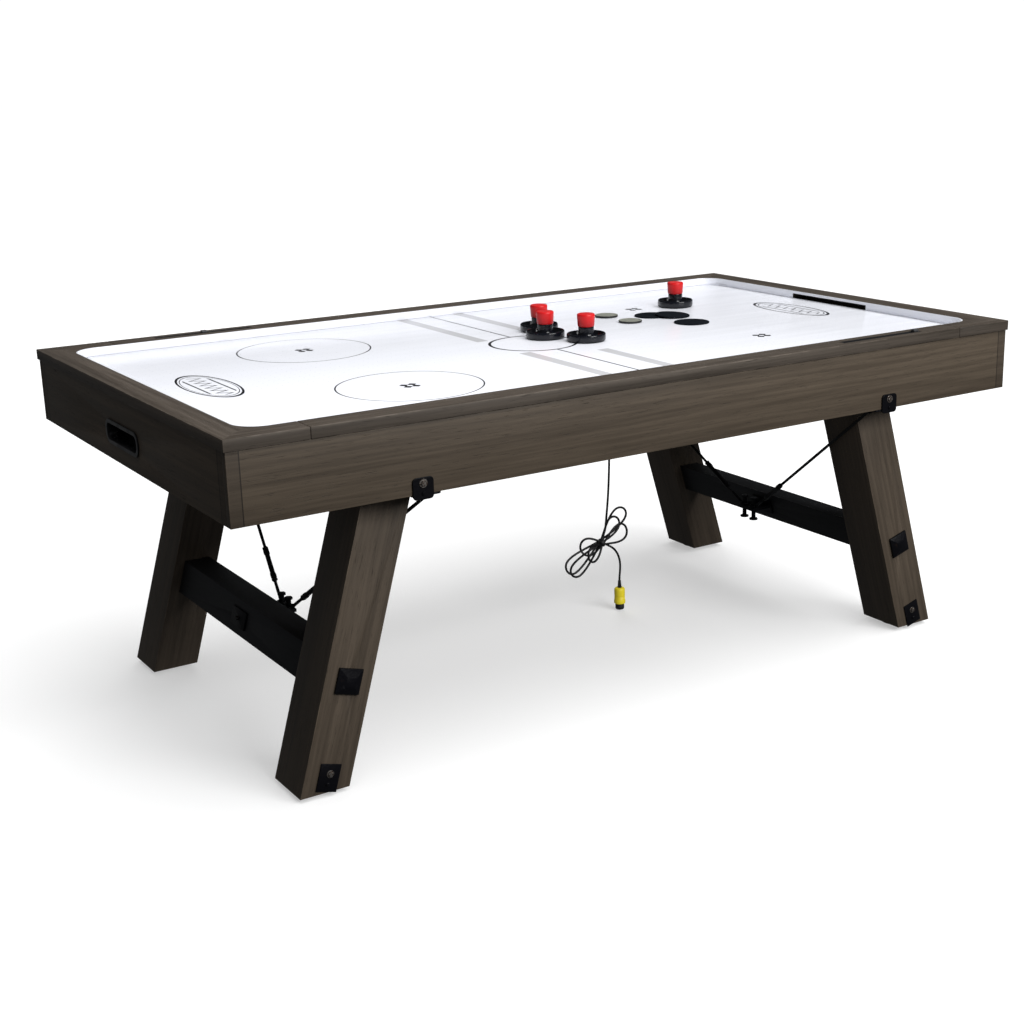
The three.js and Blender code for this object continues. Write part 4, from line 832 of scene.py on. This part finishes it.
# ---- Blower ----
# A round black moulded fan case screwed up under the air chamber. Its motor hangs in
# the middle on a spider, with a wheel of steel blades, behind a guard of plastic rings.
fix(worked("blower_housing", "blower_case", 0.0010), "table", black_plastic, "blower_plastic", "blower_housing")
steel = Finish("plated_motor_steel", Metallic=0.85)
sz = steel.axes(steel.place)[2]
sheet = steel.node("Math", {"operation": "PINGPONG"}, {0: sz, 1: 0.0009})
stripe = steel.fade(sheet, 0.0002, 0.0007)
grease = steel.noise(steel.place, 55, 5)
steel.set(**{"Base Color": steel.mix(stripe, steel.mix(grease, (0.16, 0.16, 0.165, 1), (0.34, 0.33, 0.32, 1)),
                                     (0.44, 0.44, 0.45, 1)), "Roughness": 0.32 + 0.25 * grease})
steel.bump(stripe, 0.0003, 0.6)
fix(worked("blower_motor", "fan_motor", 0.0008), "table", steel, "motor_steel", "blower_motor")
wheel = Finish("dark_wheel_plastic", 0.40)
flow = wheel.noise(wheel.place, 90, 4)
wheel.set(**{"Base Color": wheel.mix(flow, (0.020, 0.020, 0.022, 1), (0.045, 0.045, 0.048, 1)),
             "Roughness": 0.34 + 0.2 * flow})
wheel.bump(flow, 0.0003, 0.5)
fix(worked("blower_impeller", "fan_wheel", 0.0003, 40), "impeller", wheel, "blower_plastic", "blower_impeller")
case_screw = stud_shapes(0.0032, 0.0030)
case_middle, case_ring, case_top = Vector((0.190, 0.079)), 0.0895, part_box("blower_housing")[1][2]
for corner in range(6):
    turn = math.tau * (corner + 0.5) / 6
    seat = Matrix.Translation((case_middle.x + case_ring * math.cos(turn), case_middle.y + case_ring * math.sin(turn),
                               case_top - 0.0055)) @ down
    stud(f"case_screw_{corner}", case_screw, seat, slot="motor_steel")

# ---- Pushers ----
# Four strikers: a glossy black moulded dish with a felt disc glued under it, and a
# bright red grip pressed on its neck, a little wider at the top than at the bottom.
gloss_black = Finish("glossy_black_moulding", Specular_IOR_Level=0.35)
ripple = gloss_black.noise(gloss_black.place, 26, 3)
wiped = gloss_black.fade(gloss_black.noise(gloss_black.place, 150, 5), 0.5, 0.8)
gloss_black.set(**{"Base Color": gloss_black.mix(wiped, (0.0040, 0.0046, 0.0075, 1), (0.009, 0.0095, 0.013, 1)),
                   "Roughness": 0.16 + 0.22 * wiped})
gloss_black.bump(ripple, 0.004, 0.5)
red = Finish("red_moulded_grip", Specular_IOR_Level=0.3)
worn = red.fade(red.noise(red.place, 130, 5), 0.55, 0.8)
rz = red.axes(red.place)[2]
shade_down = red.fade(rz, 0.842, 0.868)
red.set(**{"Base Color": red.mix(worn * 0.5, red.mix(shade_down, (0.44, 0.006, 0.008, 1), (0.62, 0.012, 0.014, 1)),
                                 (0.50, 0.03, 0.028, 1)), "Roughness": 0.34 + 0.25 * worn})
red.bump(red.noise(red.place, 600, 3), 0.0002, 0.6)
felt = Finish("dark_pressed_felt", Specular_IOR_Level=0.03)
fuzz = felt.noise(felt.place, 900, 4, 0.7)
clump = felt.noise(felt.place, 60, 4)
felt.set(**{"Base Color": felt.mix(0.5 * fuzz + 0.5 * clump, (0.0035, 0.0045, 0.0062, 1), (0.010, 0.012, 0.015, 1)),
            "Roughness": 0.85 + 0.1 * fuzz})
felt.bump(fuzz + clump, 0.0007, 0.8)
dish = shelved(turned("dish", [
    (0, 0.0014), (0.0455, 0.0014), (0.0486, 0.0020), (0.0499, 0.0046), (0.0500, 0.0160), (0.0494, 0.0186),
    (0.0480, 0.0199), (0.0466, 0.0199), (0.0454, 0.0190), (0.0449, 0.0172), (0.0443, 0.0110), (0.0424, 0.0080),
    (0.0380, 0.0066), (0.0310, 0.0066), (0.0256, 0.0084), (0.0222, 0.0124), (0.0205, 0.0190), (0.0199, 0.0260),
    (0.0200, 0.0340), (0.0196, 0.0358), (0, 0.0358)], 72))
hold = shelved(turned("hold", [
    (0, 0.0364), (0.0192, 0.0364), (0.0207, 0.0371), (0.0213, 0.0388), (0.0217, 0.0440), (0.0224, 0.0560),
    (0.0229, 0.0630), (0.0228, 0.0662), (0.0219, 0.0682), (0.0200, 0.0692), (0.0120, 0.0690), (0, 0.0688)], 56))
sole = shelved(turned("sole", [(0, 0.0), (0.0462, 0.0), (0.0470, 0.0006), (0.0464, 0.0013), (0, 0.0013)], 48))
for number in range(1, 5):
    stand = stand_of(f"pusher_base_{number}")
    fix(copied(f"striker_dish_{number}", dish, stand), f"pusher_{number}", gloss_black, "pusher_black",
        f"pusher_base_{number}")
    fix(copied(f"striker_grip_{number}", hold, stand), f"pusher_{number}", red, "pusher_red", f"pusher_knob_{number}")
    fix(copied(f"striker_felt_{number}", sole, stand), f"pusher_{number}", felt, "felt")

# ---- Pucks and felt pads ----
# Two thin pale moulded pucks with a raised rim, and three spare dark felt discs
# left lying on the field, one of them lapping over another. Each puck's sides are
# painted near black as shade, by how far their faces turn from upright.
puck_finish = Finish("pale_puck_with_painted_side_shade", Specular_IOR_Level=0.35)
chalk = puck_finish.noise(puck_finish.place, 120, 5)
facing = puck_finish.axes(puck_finish.node("NewGeometry", {}, {}, "Normal"))[2]
# painted shade: faces that turn away from upright are darkened towards near black
painted_side_shade = puck_finish.fade(facing, 0.75, 0.45)
puck_finish.set(**{"Base Color": puck_finish.mix(painted_side_shade, puck_finish.mix(chalk, (0.165, 0.170, 0.140, 1),
                                                                            (0.225, 0.230, 0.200, 1)),
                                                 (0.012, 0.013, 0.013, 1)), "Roughness": 0.45 + 0.2 * chalk})
puck_finish.bump(chalk, 0.0004, 0.6)
disc = shelved(turned("disc", [
    (0, 0), (0.0296, 0), (0.0314, 0.0009), (0.0319, 0.0024), (0.0319, 0.0040), (0.0312, 0.0056), (0.0300, 0.0060),
    (0.0272, 0.0060), (0.0258, 0.0050), (0.0240, 0.0048), (0.0120, 0.0048), (0.0108, 0.0053), (0.0096, 0.0048),
    (0, 0.0048)], 64))
for number in (1, 2):
    fix(copied(f"slider_puck_{number}", disc, stand_of(f"puck_{number}")), f"loose_puck_{number}", puck_finish,
        "puck_plastic", f"puck_{number}")
for number in (1, 2, 3):
    fix(worked(f"felt_pad_{number}", f"spare_felt_{number}", 0.0008), f"loose_pad_{number}", felt, "felt",
        f"felt_pad_{number}")
